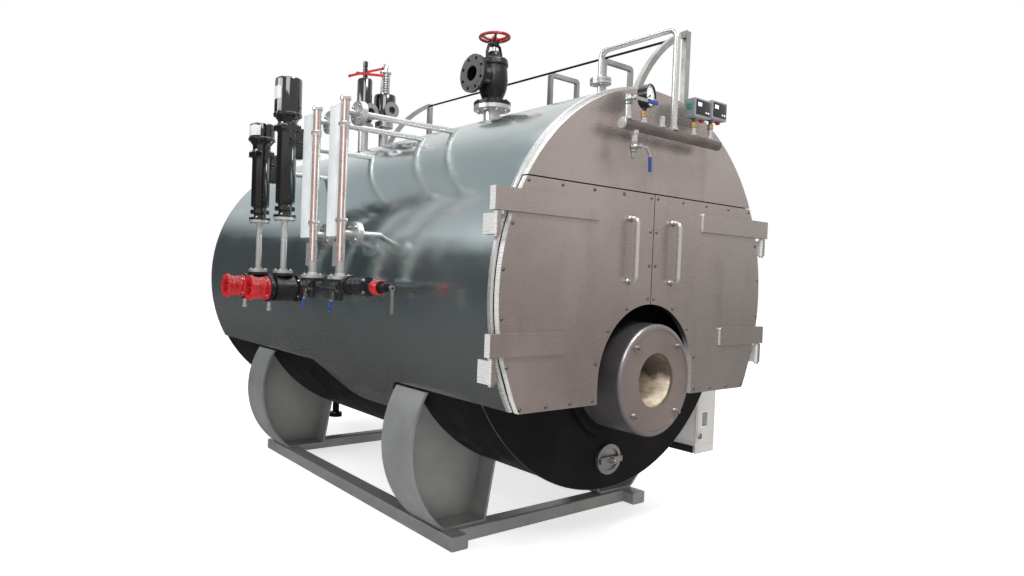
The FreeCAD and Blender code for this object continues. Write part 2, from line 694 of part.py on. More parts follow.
def level_gauge(y):
    tube = rod_z(TUBE_R, TUBE_Z[0] + SEAT, TUBE_Z[1], GAUGE_LINE, y)
    foot = rod_z(DN20[0] / 2, TUBE_Z[0] - 15, TUBE_Z[0] + SEAT, GAUGE_LINE, y)
    straps = [rod_z(TUBE_R + 3, z - 6, z + 6, GAUGE_LINE, y) for z in (1799, 1388)]
    panel = box(GAUGE_LINE - 14, GAUGE_LINE + 4, y + TUBE_R - 2, y + 112, 1320, 1888)
    lower = box(GAUGE_LINE - 6, GAUGE_LINE + 2, y + TUBE_R - 4, y + 62, 1190, 1295)
    whole = fuse(tube, foot, panel, lower, *straps)
    for z in (UPPER_Z, LOWER_Z):
        arm = rod_x(LINK_R, GAUGE_LINE, LINK_FLANGE_X - 14, y, z)
        plate = plain_disc(DN20[0] / 2, 14, LINK_FLANGE_X - 14 - SEAT, y, z, (1, 0, 0))
        whole = fuse(whole, arm, plate)
    return whole


def level_gauges():
    return Part.makeCompound([level_gauge(y) for y in TUBES])


def gauge_link(y, z):
    x1 = -shell_side(z, SHELL_R + SEAT)
    pipe = rod_x(LINK_R, LINK_FLANGE_X, x1 + 20, y, z)
    plate = plain_disc(DN20[0] / 2, 14, LINK_FLANGE_X, y, z, (1, 0, 0))
    return fuse(pipe, plate).cut(shell_cylinder(SHELL_R + SEAT))


def gauge_links():
    return Part.makeCompound([gauge_link(y, z) for y in TUBES for z in (UPPER_Z, LOWER_Z)])


GAUGE_VALVE_Z = 1078.0


def gauge_drain(y):
    z1 = TUBE_Z[0] - 15 - SEAT
    plate = rod_z(DN20[0] / 2, z1 - 14, z1, GAUGE_LINE, y)
    body = rod_z(17, GAUGE_VALVE_Z - 34, z1 - 10, GAUGE_LINE, y)
    ball = Part.makeSphere(21, V(GAUGE_LINE, y, GAUGE_VALVE_Z))
    neck = rod_x(STEM_R, GAUGE_LINE - STEM_LENGTH, GAUGE_LINE, y, GAUGE_VALVE_Z)
    return fuse(plate, body, ball, neck)


def gauge_drains():
    link = rod_y(6, TUBES[0] + 15, TUBES[1] - 15, GAUGE_LINE, GAUGE_VALVE_Z + 12)
    return fuse(gauge_drain(TUBES[0]), gauge_drain(TUBES[1]), link)


def side_handle(y):
    """A lever hanging on a stem that points to the left."""
    x = GAUGE_LINE - 34
    blade = box(x - 2, x + 2, -7, 7, -80, 0)
    grip = box(x - 5, x + 5, -8, 8, -84, -34)
    lever = fuse(blade, grip.makeChamfer(2, grip.Edges), rod_x(10, x - 4, x + 4, 0, 0))
    lever = lever.cut(rod_x(STEM_R + PIN_GAP, x - 6, x + 6, 0, 0))
    lever.rotate(V(0, 0, 0), V(1, 0, 0), 12)
    lever.translate(V(0, y, GAUGE_VALVE_Z))
    return lever


# ---- control columns and feed valves

def level_column(y, top, tall):
    x = GAUGE_LINE
    barrel_top = 1850.0 if tall else 1757.0
    cap_low = barrel_top + (73.0 if tall else 89.0)
    foot = rod_z(56, 1425, 1437, x, y)
    neck = rod_z(30, 1430, 1500, x, y)
    collar = rod_z(50, 1462, 1478, x, y)
    barrel = rod_z(48, 1495, barrel_top, x, y)
    block = box(x - 56, x + 56, y - 50, y + 50, barrel_top, barrel_top + 30)
    taper = Part.makeCone(48, 62, cap_low - barrel_top - 30, V(x, y, barrel_top + 30), V(0, 0, 1))
    cap = rod_z(67, cap_low, top, x, y)
    lip = rod_z(71, cap_low, cap_low + 12, x, y)
    rear = box(x + 30, x + 92, y - 36, y + 36, barrel_top - 130, barrel_top + 20)
    return fuse(foot, neck, collar, barrel, block, taper, cap, lip, rear)


def level_columns():
    pairs = zip(COLUMNS, COLUMN_CAPS, (True, False))
    return Part.makeCompound([level_column(y, top, tall) for y, top, tall in pairs])


def column_pipe(y, tall):
    x = GAUGE_LINE
    upper = rod_z(56, 1412, 1425 - SEAT, x, y)
    pipe = rod_z(15, 1162, 1420, x, y)
    lower = rod_z(50, 1150, 1164, x, y)
    return fuse(upper, pipe, lower)


def column_stay(y, tall):
    z = 1783.0 if tall else 1690.0
    x0 = GAUGE_LINE + 92 + SEAT
    bar = rod_x(LINK_R, x0, -shell_side(z, JACKET_R) + 40, y, z)
    return bar.cut(shell_cylinder(JACKET_R + SEAT))


def column_pipes():
    whole = []
    for y, tall in zip(COLUMNS, (True, False)):
        whole.append(column_pipe(y, tall))
        whole.append(column_stay(y, tall))
    return Part.makeCompound(whole)


def feed_body(y):
    x = GAUGE_LINE
    port = rod_z(50, 1137, 1150 - SEAT, x, y)
    neck = rod_z(24, FEED_Z, 1140, x, y)
    body = rod_x(46, x - 82, x + 80, y, FEED_Z)
    drum = rod_x(62, x - 48, x + 50, y, FEED_Z)
    outer = rod_x(66, x - 82, x - 68, y, FEED_Z)
    inner = rod_x(66, x + 68, x + 82, y, FEED_Z)
    tail = rod_x(22, x + 80, -shell_side(FEED_Z, JACKET_R) + 30, y, FEED_Z)
    pair = rod_x(66, x + 84, x + 98, y, FEED_Z)
    spigot = rod_z(9, FEED_Z - 112, FEED_Z, x - 68, y)
    whole = fuse(port, neck, body, drum, outer, inner, tail, pair, spigot)
    return whole.cut(shell_cylinder(JACKET_R + SEAT))


def feed_bodies():
    return Part.makeCompound([feed_body(y) for y in COLUMNS])


CHECK_OUT = GAUGE_LINE - 176.0
FEED_BORE = 36.0
CHECK_IN = GAUGE_LINE - 82.0 - SEAT
DN40 = (122.0, 99.0, 4, 11.0, 14.0)


def check_valve(y):
    face = flange(DN40, CHECK_OUT, y, FEED_Z, (1, 0, 0), FEED_BORE)
    body = rod_x(FEED_BORE + 8, CHECK_OUT + 10, CHECK_IN, y, FEED_Z)
    lip = rod_x(DN40[0] / 2 - 3, CHECK_IN - 14, CHECK_IN, y, FEED_Z)
    whole = fuse(body, lip).cut(rod_x(FEED_BORE, CHECK_OUT, CHECK_IN - 10, y, FEED_Z))
    r = FEED_BORE + 2
    spokes = [box(CHECK_OUT + 16, CHECK_OUT + 26, y - 4, y + 4, FEED_Z - r, FEED_Z + r),
              box(CHECK_OUT + 16, CHECK_OUT + 26, y - r, y + r, FEED_Z - 4, FEED_Z + 4)]
    hub = rod_x(12, CHECK_OUT + 16, CHECK_IN - 6, y, FEED_Z)
    return fuse(whole, face, hub, *spokes)


def check_valves():
    return Part.makeCompound([check_valve(y) for y in COLUMNS])


BLOW_Z = 1112.0
BLOW_X = GAUGE_LINE


def blowdown_valve():
    y0 = FRONT + 400
    x = BLOW_X
    body = rod_y(33, FRONT + 575, FRONT + 735, x, BLOW_Z)
    ends = [rod_y(40, FRONT + 575, FRONT + 590, x, BLOW_Z), rod_y(40, FRONT + 720, FRONT + 735, x, BLOW_Z)]
    ring = rod_y(24, FRONT + 478, FRONT + 528, x, BLOW_Z)
    necks = rod_y(17, y0 + 40, FRONT + 580, x, BLOW_Z)
    stem = rod_y(STEM_R, y0 - 4, y0 + 60, x, BLOW_Z)
    joint = rod_x(17, x, -shell_side(BLOW_Z, JACKET_R) + 20, FRONT + 655, BLOW_Z)
    tail = rod_y(14, FRONT + 730, TUBES[0] - DN20[0] / 2 - MOVE_GAP, x, BLOW_Z)
    whole = fuse(body, ring, necks, stem, joint, tail, *ends)
    return whole.cut(shell_cylinder(JACKET_R + SEAT))


def blowdown_lever():
    x = BLOW_X
    y = FRONT + 402
    blade = box(x - 7, x + 7, y - 3, y + 3, BLOW_Z - 100, BLOW_Z)
    eye = rod_y(11, y - 4, y + 4, x, BLOW_Z)
    return fuse(blade, eye).cut(rod_y(STEM_R + PIN_GAP, y - 5, y + 5, x, BLOW_Z))


# ---- top rail

def rail_frame(y, low, width, top):
    r = 11
    path = ((RAIL_X, y, AXIS_Z + low[0]), (RAIL_X, y, top), (RAIL_X + width, y, top),
            (RAIL_X + width, y, AXIS_Z + low[1]))
    return bent_rod(path, r, 13, True)


def rail_arch(y, top):
    foot = V(ARC_X, y, shell_top(ARC_X, JACKET_R) - 3)
    crown = V(RAIL_X - 12, y, top)
    middle = V(ARC_MIDDLE[0], y, ARC_MIDDLE[1] + 0.5 * (top - RAIL_Z[0] - 22))
    curve = Part.Arc(foot, middle, crown).toShape()
    along = curve.tangentAt(curve.FirstParameter)
    side = V(0, 1, 0)
    up = along.cross(side)
    ring = [foot + side * (11 * i) + up * (13 * j) for i, j in ((1, 1), (-1, 1), (-1, -1), (1, -1))]
    bar = Part.Wire([curve]).makePipeShell([Part.makePolygon(ring + ring[:1])], True, True)
    post = box(RAIL_X - 22, RAIL_X + 10, y - 11, y + 11, shell_top(RAIL_X, JACKET_R) - 14, top + 8)
    return fuse(bar, post)


def top_rail():
    y_front = FRONT + 42
    y_rear = FRONT + 1955
    span = y_rear - y_front
    pieces = [rail_arch(y_front, RAIL_Z[0] + 22), rail_arch(y_rear, RAIL_Z[1] + 2)]
    low = [math.sqrt(JACKET_R ** 2 - x ** 2) - 6 for x in (RAIL_X, RAIL_X + HOOP_W)]
    for d in (503, 862):
        y = FRONT + d
        z = RAIL_Z[0] + (RAIL_Z[1] - RAIL_Z[0]) * (y - y_front) / span
        pieces.append(rail_frame(y, low, HOOP_W, z))
    x = RAIL_X - 22 - 5 - SEAT
    start = V(x, y_front - 11, RAIL_Z[0] + 4)
    end = V(x, y_rear + 11, RAIL_Z[1] - 8)
    rod = Part.makeCylinder(5, (end - start).Length, start, end - start)
    pieces = [piece.cut(shell_cylinder(JACKET_R + SEAT)).cut(rod) for piece in pieces]
    return Part.makeCompound(pieces + [rod])


# ---- control cabinet

CABINET = (874.0, 1046.0, FRONT + 318.0, FRONT + 820.0, 262.0, 1380.0)


def control_cabinet():
    x0, x1, y0, y1, z0, z1 = CABINET
    body = box(x0, x1, y0, y1, z0 + 42, z1)
    base = box(x0 + 6, x1 - 6, y0 + 12, y1 - 6, z0, z0 + 44)
    lip = box(x0, x1, y0, y0 + 3, z0, z0 + 44)
    stays = [box(x0 - 30, x0 + 1, y, y + 40, AXIS_Z - 60, AXIS_Z + 60) for y in (y0 + 60, y1 - 100)]
    whole = fuse(body, base, lip, *stays)
    return whole.cut(shell_cylinder(JACKET_R + SEAT))


def main():
    left, right = doors()
    export("pressure_shell", pressure_shell())
    export("rear_end_plate", rear_end_plate())
    export("rear_cover", rear_cover())
    export("flue_outlet", flue_outlet())
    export("bottom_drain", bottom_drain())
    export("front_plate", front_plate())
    export("handhole_cover", handhole_cover())
    export("furnace_tube", furnace_tube())
    export("furnace_ring", furnace_ring())
    export("burner_drum", burner_drum())
    export("burner_plate", burner_plate())
    export("throat_lining", throat_lining())
    export("jacket", jacket())
    export("cap_plate", cap_plate())
    export("door_sills", Part.makeCompound([sill(-1), sill(1)]))
    export("door_left", left)
    export("door_right", right)
    export("hinge_brackets", hinge_brackets())
    export("skid_beams", skid_beams())
    export("cross_beams", Part.makeCompound([cross_beam(CROSS_FRONT), cross_beam(CROSS_REAR)]))
    export("saddles", Part.makeCompound(saddle_pair(SADDLES[0]) + saddle_pair(SADDLES[1])))
    export("steam_nozzle", steam_nozzle())
    export("steam_valve_body", fuse(steam_valve_body(), steam_valve_yoke()))
    export("steam_handwheel", steam_handwheel())
    export("safety_valves", lever_sockets(safety_valves()))
    export("safety_lever_left", safety_lever(0))
    export("safety_lever_right", safety_lever(1))
    export("riser_pipe", riser_pipe())
    export("gauge_header", gauge_header())
    export("pressure_gauge", pressure_gauge())
    export("pressure_switches", pressure_switches())
    export("header_cock_handle", front_handle(COCK_X, COCK_Z, COCK_ARM, 15))
    export("header_cocks", Part.makeCompound([header_cock(), drain_cock()]))
    export("drain_cock_handle", front_handle(DRAIN_X, DRAIN_Z, DRAIN_ARM, 12))
    export("level_gauges", level_gauges())
    export("gauge_links", gauge_links())
    export("gauge_drains", gauge_drains())
    export("gauge_handle_front", side_handle(TUBES[0]))
    export("gauge_handle_rear", side_handle(TUBES[1]))
    export("level_columns", level_columns())
    export("column_pipes", column_pipes())
    export("feed_bodies", feed_bodies())
    export("check_valves", check_valves())
    export("blowdown_valve", blowdown_valve())
    export("blowdown_lever", blowdown_lever())
    export("top_rail", top_rail())
    export("control_cabinet", control_cabinet())


main()
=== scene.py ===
# %% [markdown]
# # A packaged steam boiler
# This lesson dresses the finished construction of a fire-tube boiler. The construction
# comes in as fixed nodes, which keep their shape and place. What we add is everything that
# makes it look real: painted sheet, brushed steel, screws, dials, handwheels and pipe fittings.

# %% Load the frame
import bpy
import math
from mathutils import Matrix, Vector


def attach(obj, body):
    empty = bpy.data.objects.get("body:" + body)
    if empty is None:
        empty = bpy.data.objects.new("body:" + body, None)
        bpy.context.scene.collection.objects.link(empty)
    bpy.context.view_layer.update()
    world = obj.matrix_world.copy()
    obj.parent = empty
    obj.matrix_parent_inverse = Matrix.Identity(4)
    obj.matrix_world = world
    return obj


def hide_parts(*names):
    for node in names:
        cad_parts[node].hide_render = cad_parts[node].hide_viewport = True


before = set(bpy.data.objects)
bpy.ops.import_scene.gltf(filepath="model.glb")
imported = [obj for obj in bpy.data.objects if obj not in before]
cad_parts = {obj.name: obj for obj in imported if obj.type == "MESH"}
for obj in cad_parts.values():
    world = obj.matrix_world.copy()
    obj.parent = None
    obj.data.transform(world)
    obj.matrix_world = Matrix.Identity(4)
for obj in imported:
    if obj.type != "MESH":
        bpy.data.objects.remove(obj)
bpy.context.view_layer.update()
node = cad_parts
ROOT = "boiler"

# %% [markdown]
# The drawing is in millimetres, but the scene is in metres, so one small helper turns a
# drawing size into a scene size. The front face of the doors is the plane that most front
# fittings are measured from, and the shell's axis is the line that everything is turned about.

# %% Main sizes
def mm(value):
    return value / 1000


UP, DOWN = (0, 0, 1), (0, 0, -1)
AHEAD, BACK = (0, -1, 0), (0, 1, 0)
LEFT, RIGHT = (-1, 0, 0), (1, 0, 0)
FRONT = mm(-560)
AXIS_Z = mm(1110)
STEAM_LINE = 498  # how far along the boiler the steam valve stands, as a drawing size
STEAM_Y = mm(STEAM_LINE)
SAFETY_Y = FRONT + mm(1850)
HEADER_Y = FRONT - mm(73)
GAUGE_LINE = -1030  # gauges and columns stand on this line, in drawing sizes
TUBE_YS = (FRONT + mm(815), FRONT + mm(1075))
FEED_OUTER, FEED_INNER = -1098, -962
COLUMN_YS = (FRONT + mm(1400), FRONT + mm(1720))
FEED_Z = mm(1074)
FURNACE_Z = mm(764)
print("front face at y =", FRONT)

# %% [markdown]
# ## The camera
# A machine of this size is usually pictured from about eye height, a few paces off its front
# left corner. We give the camera a moderately wide lens and a small sideways shift, so the
# boiler can sit off the lens axis without its upright lines leaning.

# %% Camera
view = bpy.data.cameras.new("view")
view.lens = 24.12
view.sensor_width = 36
view.shift_x = 0.0875
view.shift_y = 0.0004
view.clip_end = 60
camera = bpy.data.objects.new("camera", view)
camera.location = (mm(-2447.5), mm(-2338.5), mm(1173.3))
camera.rotation_euler = (math.radians(88.740), math.radians(-2.068), math.radians(-35.522))
bpy.context.scene.collection.objects.link(camera)
bpy.context.scene.camera = camera
print("camera stands", round(camera.location.length, 2), "m from the front cross beam")

# %% [markdown]
# ## The studio
# Polished sheet shows its surroundings more than its own colour. We therefore build a simple
# sky: bright overhead, dim at eye level, and a warm dull ground, as in a workshop. Rays that
# come straight from the camera see plain white instead, so the background stays clean.

# %% Sky and background
bpy.context.scene.view_settings.view_transform = "Standard"
world = bpy.data.worlds.new("studio")
bpy.context.scene.world = world
world.use_nodes = True
sky = world.node_tree
sky.nodes.clear()
sky_out = sky.nodes.new("ShaderNodeOutputWorld")
sky_coords = sky.nodes.new("ShaderNodeTexCoord")
sky_split = sky.nodes.new("ShaderNodeSeparateXYZ")
sky_height = sky.nodes.new("ShaderNodeMapRange")
sky_height.inputs["From Min"].default_value = -1
sky.links.new(sky_coords.outputs["Generated"], sky_split.inputs[0])
sky.links.new(sky_split.outputs["Z"], sky_height.inputs[0])


def sky_bands(stops):
    """A column of colours from the ground, at 0, through the horizon to straight up, at 1."""
    ramp = sky.nodes.new("ShaderNodeValToRGB")
    sky.links.new(sky_height.outputs[0], ramp.inputs[0])
    while len(ramp.color_ramp.elements) < len(stops):
        ramp.color_ramp.elements.new(0.5)
    for element, (place, colour) in zip(ramp.color_ramp.elements, stops):
        element.position = place
        element.color = (*colour, 1)
    return ramp.outputs[0]


behind = sky_bands([(0.0, (0.085, 0.08, 0.075)), (0.40, (0.075, 0.075, 0.075)), (0.50, (0.022, 0.028, 0.032)),
                    (0.62, (0.022, 0.030, 0.034)), (0.67, (0.66, 0.70, 0.73)), (0.76, (0.46, 0.50, 0.52)),
                    (0.90, (0.32, 0.37, 0.38)), (1.0, (0.60, 0.62, 0.62))])
ahead = sky_bands([(0.0, (0.24, 0.215, 0.20)), (0.45, (0.36, 0.33, 0.31)), (0.55, (0.62, 0.58, 0.56)),
                   (0.75, (0.58, 0.545, 0.53)), (1.0, (0.50, 0.51, 0.51))])
beyond = sky_bands([(0.0, (0.12, 0.12, 0.12)), (0.45, (0.22, 0.22, 0.22)), (0.52, (0.85, 0.86, 0.86)),
                    (0.75, (0.85, 0.86, 0.86)), (1.0, (0.60, 0.62, 0.62))])


def sky_change(axis, start, end, low_side, high_side):
    """Goes over from one column of colours to another along an axis."""
    side = sky.nodes.new("ShaderNodeMapRange")
    side.interpolation_type = "SMOOTHSTEP"
    side.inputs["From Min"].default_value = start
    side.inputs["From Max"].default_value = end
    blend = sky.nodes.new("ShaderNodeMix")
    blend.data_type = "RGBA"
    sky.links.new(sky_split.outputs[axis], side.inputs[0])
    sky.links.new(side.outputs[0], blend.inputs[0])
    sky.links.new(low_side, blend.inputs[6])
    sky.links.new(high_side, blend.inputs[7])
    return blend.outputs[2]


sky_colour = sky_change("Y", -0.35, 0.15, ahead, sky_change("X", 0.0, 0.4, behind, beyond))
sky_light = sky.nodes.new("ShaderNodeBackground")
sky_white = sky.nodes.new("ShaderNodeBackground")
sky_mix = sky.nodes.new("ShaderNodeMixShader")
sky_path = sky.nodes.new("ShaderNodeLightPath")
sky_white.inputs[0].default_value = (1, 1, 1, 1)
sky.links.new(sky_colour, sky_light.inputs[0])
sky.links.new(sky_path.outputs["Is Camera Ray"], sky_mix.inputs[0])
sky.links.new(sky_light.outputs[0], sky_mix.inputs[1])
sky.links.new(sky_white.outputs[0], sky_mix.inputs[2])
sky.links.new(sky_mix.outputs[0], sky_out.inputs[0])
sky_light.inputs[1].default_value = 1.0
print("sky nodes:", len(sky.nodes))

# %% [markdown]
# Four large soft lamps do the rest. A big lamp gives a wide, gentle highlight on round sheet,
# where a small one would leave a hard spot. The one at the upper front lights the valves' tops.

# %% Lamps
def soft_lamp(name, place, target, size, power):
    lamp = bpy.data.lights.new(name, "AREA")
    lamp.shape = "RECTANGLE"
    lamp.size, lamp.size_y = size
    lamp.energy = power
    o = bpy.data.objects.new(name, lamp)
    o.location = place
    o.rotation_euler = (Vector(target) - Vector(place)).to_track_quat("-Z", "Y").to_euler()
    bpy.context.scene.collection.objects.link(o)
    print("lamp", name, "of", power, "watts")


soft_lamp("key", (-3.5, -3.5, 5.2), (0, 0, 1.0), (3.0, 2.0), 105)
soft_lamp("fill", (-5.5, 2.0, 3.8), (-0.5, 1.0, 1.2), (4.0, 1.6), 110)
soft_lamp("front_top", (0.1, -2.6, 5.2), (0.1, -0.5, 1.4), (1.6, 0.9), 125)
soft_lamp("top", (0, 1.0, 6.0), (0, 1.0, 1.0), (4.0, 5.0), 130)

# %% [markdown]
# The floor is only a stage and no part of the boiler. It stays out of
# reflections, because a white floor mirrored in the belly of the jacket would wash it out.

# %% Floor
def deselect():
    if bpy.context.mode != "OBJECT":
        bpy.ops.object.mode_set(mode="OBJECT")
    bpy.ops.object.select_all(action="DESELECT")


deselect()
bpy.ops.mesh.primitive_plane_add(size=40, location=(0, 0, -0.002))
floor = bpy.context.object
floor.name = "floor"
floor.visible_glossy = False

# %% [markdown]
# ## Finishes
# A finish is a small node tree. Writing it as Python sums keeps it readable, so one class
# stands for a socket and knows how to add, take away and multiply, and another builds the material.
# Everything that varies over a surface reads Object coordinates, because each piece keeps its
# place in its mesh: the pattern then stays on the piece when the piece moves.

# %% A socket that does sums
class Value:
    def __init__(self, finish, socket):
        self.finish = finish
        self.socket = socket

    def __add__(self, other):
        return self.finish.math("ADD", self, other)

    def __sub__(self, other):
        return self.finish.math("SUBTRACT", self, other)

    def __rsub__(self, other):
        return self.finish.math("SUBTRACT", other, self)

    def __mul__(self, other):
        return self.finish.math("MULTIPLY", self, other)

    __radd__ = __add__
    __rmul__ = __mul__


# %% A finish and its nodes
class Finish:
    def __init__(self, name, metallic=0.0, **constants):
        self.material = bpy.data.materials.new(name)
        self.material.use_nodes = True
        self.tree = self.material.node_tree
        self.shader = self.tree.nodes["Principled BSDF"]
        self.shader.inputs["Metallic"].default_value = metallic
        for socket, value in constants.items():
            self.shader.inputs[socket.replace("_", " ")].default_value = value
        self.place = self.node("ShaderNodeTexCoord", out="Object")

    def node(self, kind, settings=None, inputs=None, out=0):
        made = self.tree.nodes.new(kind)
        for key, value in (settings or {}).items():
            setattr(made, key, value)
        for key, value in (inputs or {}).items():
            if isinstance(value, Value):
                self.tree.links.new(value.socket, made.inputs[key])
            else:
                made.inputs[key].default_value = value
        return Value(self, made.outputs[out])

    def math(self, operation, a, b=0.0):
        return self.node("ShaderNodeMath", {"operation": operation}, {0: a, 1: b})

    def noise(self, scale, detail=3.0, rough=0.55, stretch=(1, 1, 1), distort=0.0):
        where = self.node("ShaderNodeMapping", None, {"Vector": self.place, "Scale": stretch})
        return self.node("ShaderNodeTexNoise", None, {"Vector": where, "Scale": scale, "Detail": detail,
                                                      "Roughness": rough, "Distortion": distort})

    def spread(self, value, low, high, to_low=0.0, to_high=1.0):
        return self.node("ShaderNodeMapRange", None, {"Value": value, "From Min": low, "From Max": high,
                                                      "To Min": to_low, "To Max": to_high})

    def blend(self, factor, a, b):
        def paint(colour):
            return colour if isinstance(colour, Value) else (*colour, 1)
        return self.node("ShaderNodeMix", {"data_type": "RGBA"}, {0: factor, 6: paint(a), 7: paint(b)}, 2)

    def bump(self, height, strength, distance):
        return self.node("ShaderNodeBump", None,
                         {"Height": height, "Strength": strength, "Distance": distance})

    def along(self, axis):
        return self.node("ShaderNodeSeparateXYZ", None, {0: self.place}, axis)

    def facing(self, axis):
        normal = self.node("ShaderNodeTexCoord", out="Normal")
        return self.node("ShaderNodeSeparateXYZ", None, {0: normal}, axis)

    def feed(self, socket, value):
        self.tree.links.new(value.socket, self.shader.inputs[socket])
        return self


def dress(finish, *names):
    for name in names:
        o = node[name] if isinstance(name, str) else name
        o.data.materials.clear()
        o.data.materials.append(finish.material)


# %% [markdown]
# The jacket is thin bright sheet wrapped round the insulation, with a cool blue-green cast
# under a clear gloss. Rolled sheet is never quite flat, so a slow bump bends the reflections,
# and the gloss is uneven where hands and cloths have been. Low down a warm brown is painted
# into the sheet, a painted reflection of the floor.

# %% Cladding sheet
cladding = Finish("cladding_sheet", metallic=0.93, Coat_Roughness=0.08, Coat_Weight=0.35)
drift = cladding.noise(0.9, 3, 0.5)
grime = cladding.noise(6.0, 5, 0.6)
waves = cladding.noise(1.7, 1, 0.4, (1, 0.35, 1))
scuff = cladding.noise(2.2, 6, 0.65, (1, 0.6, 1.3), 0.8)
sheet = cladding.blend(cladding.spread(drift, 0.3, 0.7), (0.42, 0.49, 0.49), (0.55, 0.60, 0.60))
# Painted reflection: below about a metre the sheet goes over to a warm brown, the floor's reflection painted
# into its colour.
low = cladding.spread(cladding.along(2) + drift * 0.25, 1.0, 0.62, 0, 0.75)
sheet = cladding.blend(low, sheet, (0.30, 0.27, 0.245))
sheet = cladding.blend(cladding.spread(scuff, 0.56, 0.74, 0, 0.4), sheet, (0.60, 0.60, 0.58))
cladding.feed("Base Color", sheet)
cladding.feed("Roughness", cladding.spread(grime * 0.5 + scuff * 0.5, 0.35, 0.7, 0.10, 0.26))
cladding.feed("Normal", cladding.bump(waves, 0.30, 0.02))
dress(cladding, "jacket")

# %% [markdown]
# The doors and the cap above them are bare brushed stainless. Fine scratches that run one way
# spread a reflection sideways. We stretch a noise until it is a field of hair lines, and let
# it move the roughness and a very small bump, over broad warm blotches from handling. Bent
# edges catch the light, and this is painted in: masks made from a face's direction and place paint
# highlights on the edges that look up or sideways and on the bars that stand proud, and paint
# shade on the edges that look down.

# %% Brushed front
brushed = Finish("brushed_front", metallic=0.8)
hair = brushed.noise(9.0, 4, 0.7, (1, 1, 40))
cloud = brushed.noise(1.6, 4, 0.55, (1, 1, 0.8), 0.4)
smear = brushed.noise(5.0, 5, 0.6, (1.4, 1, 0.5))
warm = brushed.blend(brushed.spread(cloud, 0.32, 0.68), (0.29, 0.243, 0.232), (0.43, 0.375, 0.358))
cool = brushed.blend(brushed.spread(brushed.along(0), -0.45, 0.85, 0, 0.75), warm, (0.30, 0.292, 0.278))
# Painted highlight: towards the top the front goes over to a much lighter tone, as if lit from above.
cool = brushed.blend(brushed.spread(brushed.along(2), 1.0, 1.95, 0, 0.62), cool, (0.62, 0.555, 0.54))
wear_and_painted_light = brushed.blend(brushed.spread(smear, 0.55, 0.75, 0, 0.35), cool, (0.25, 0.21, 0.203))
sideways = brushed.spread(brushed.math("ABSOLUTE", brushed.facing(1)), 0.85, 0.6)
outwards = brushed.spread(brushed.math("ABSOLUTE", brushed.facing(0)), 0.25, 0.4)
outer = brushed.spread(brushed.math("ABSOLUTE", brushed.along(0)), 0.26, 0.30)
edge = sideways * outwards * outer
under = brushed.spread(brushed.facing(2), -0.4, -0.85)
upper = brushed.spread(brushed.facing(2), 0.5, 0.85)
proud = brushed.spread(brushed.along(1), mm(-571), mm(-573))
# Painted shade on faces that look down, painted highlights on faces that look up and on the proud handle
# bars.
wear_and_painted_light = brushed.blend(upper, brushed.blend(under, wear_and_painted_light, (0.06, 0.054, 0.052)), (0.62, 0.60, 0.58))
wear_and_painted_light = brushed.blend(proud, wear_and_painted_light, (0.66, 0.645, 0.63))
# Painted highlight on the bent side edges of the cap and doors.
brushed.feed("Base Color", brushed.blend(edge, wear_and_painted_light, (0.74, 0.735, 0.72)))
brushed.feed("Metallic", brushed.spread(edge, 0, 1, 0.8, 0.35))
grain = hair * (1 - proud)
brushed.feed("Roughness", brushed.spread(grain * 0.5 + cloud * 0.5, 0.3, 0.7, 0.21, 0.36))
sway = brushed.noise(1.1, 2, 0.5, (1, 1, 0.6))
brushed.feed("Normal", brushed.bump(grain * 0.05 + sway, 0.30, 0.02))
dress(brushed, "cap_plate", "door_left", "door_right", "hinge_brackets")


# %% [markdown]
# Most other parts are painted or bare steel of a few kinds. They differ in colour, gloss and
# grain only, so one function makes them all: two tones mixed by a slow noise, an uneven
# gloss, and a fine bump for orange peel, cast skin or mill scale.

# %% Plain finishes
def two_tone(name, dark, light, rough, metallic=0.0, grain=60.0, height=0.15, slow=2.5, **constants):
    f = Finish(name, metallic=metallic, **constants)
    slow_noise = f.noise(slow, 4, 0.6)
    fine = f.noise(grain, 3, 0.6)
    f.feed("Base Color", f.blend(f.spread(slow_noise, 0.3, 0.7), dark, light))
    f.feed("Roughness", f.spread(f.noise(slow * 3, 4, 0.6), 0.3, 0.7, rough[0], rough[1]))
    f.feed("Normal", f.bump(fine, height, 0.001))
    return f


# %% Paints, castings and bare metals
black_steel = two_tone("black_paint", (0.003, 0.003, 0.0032), (0.008, 0.008, 0.0085),
                       (0.35, 0.55), 0.0, Specular_IOR_Level=0.12)
rear_paint = two_tone("rear_paint", (0.014, 0.014, 0.015), (0.030, 0.030, 0.032),
                      (0.30, 0.48), 0.0, 90.0, 0.06)
skid_paint = two_tone("skid_paint", (0.235, 0.242, 0.24), (0.36, 0.366, 0.362),
                      (0.30, 0.48), 0.45, 90.0, 0.08)
polished = two_tone("polished_drum", (0.29, 0.272, 0.283), (0.44, 0.41, 0.42), (0.27, 0.40), 0.9, 40.0, 0.02)
ring_plate = two_tone("burner_plate", (0.22, 0.18, 0.165), (0.34, 0.29, 0.27), (0.35, 0.5), 0.75, 70.0, 0.15)
fibre = two_tone("throat_fibre", (0.36, 0.24, 0.15), (0.82, 0.72, 0.58), (0.9, 1.0), 0.0, 25.0, 0.9, 9.0)
# Painted shade in the creases: along the bands of a stretched noise, which stand for the folds, the blanket
# is painted darker.
folds = fibre.noise(11.0, 5, 0.65, (1, 1, 3))
creased = fibre.blend(fibre.spread(folds, 0.32, 0.56), (0.44, 0.31, 0.20), (0.82, 0.72, 0.58))
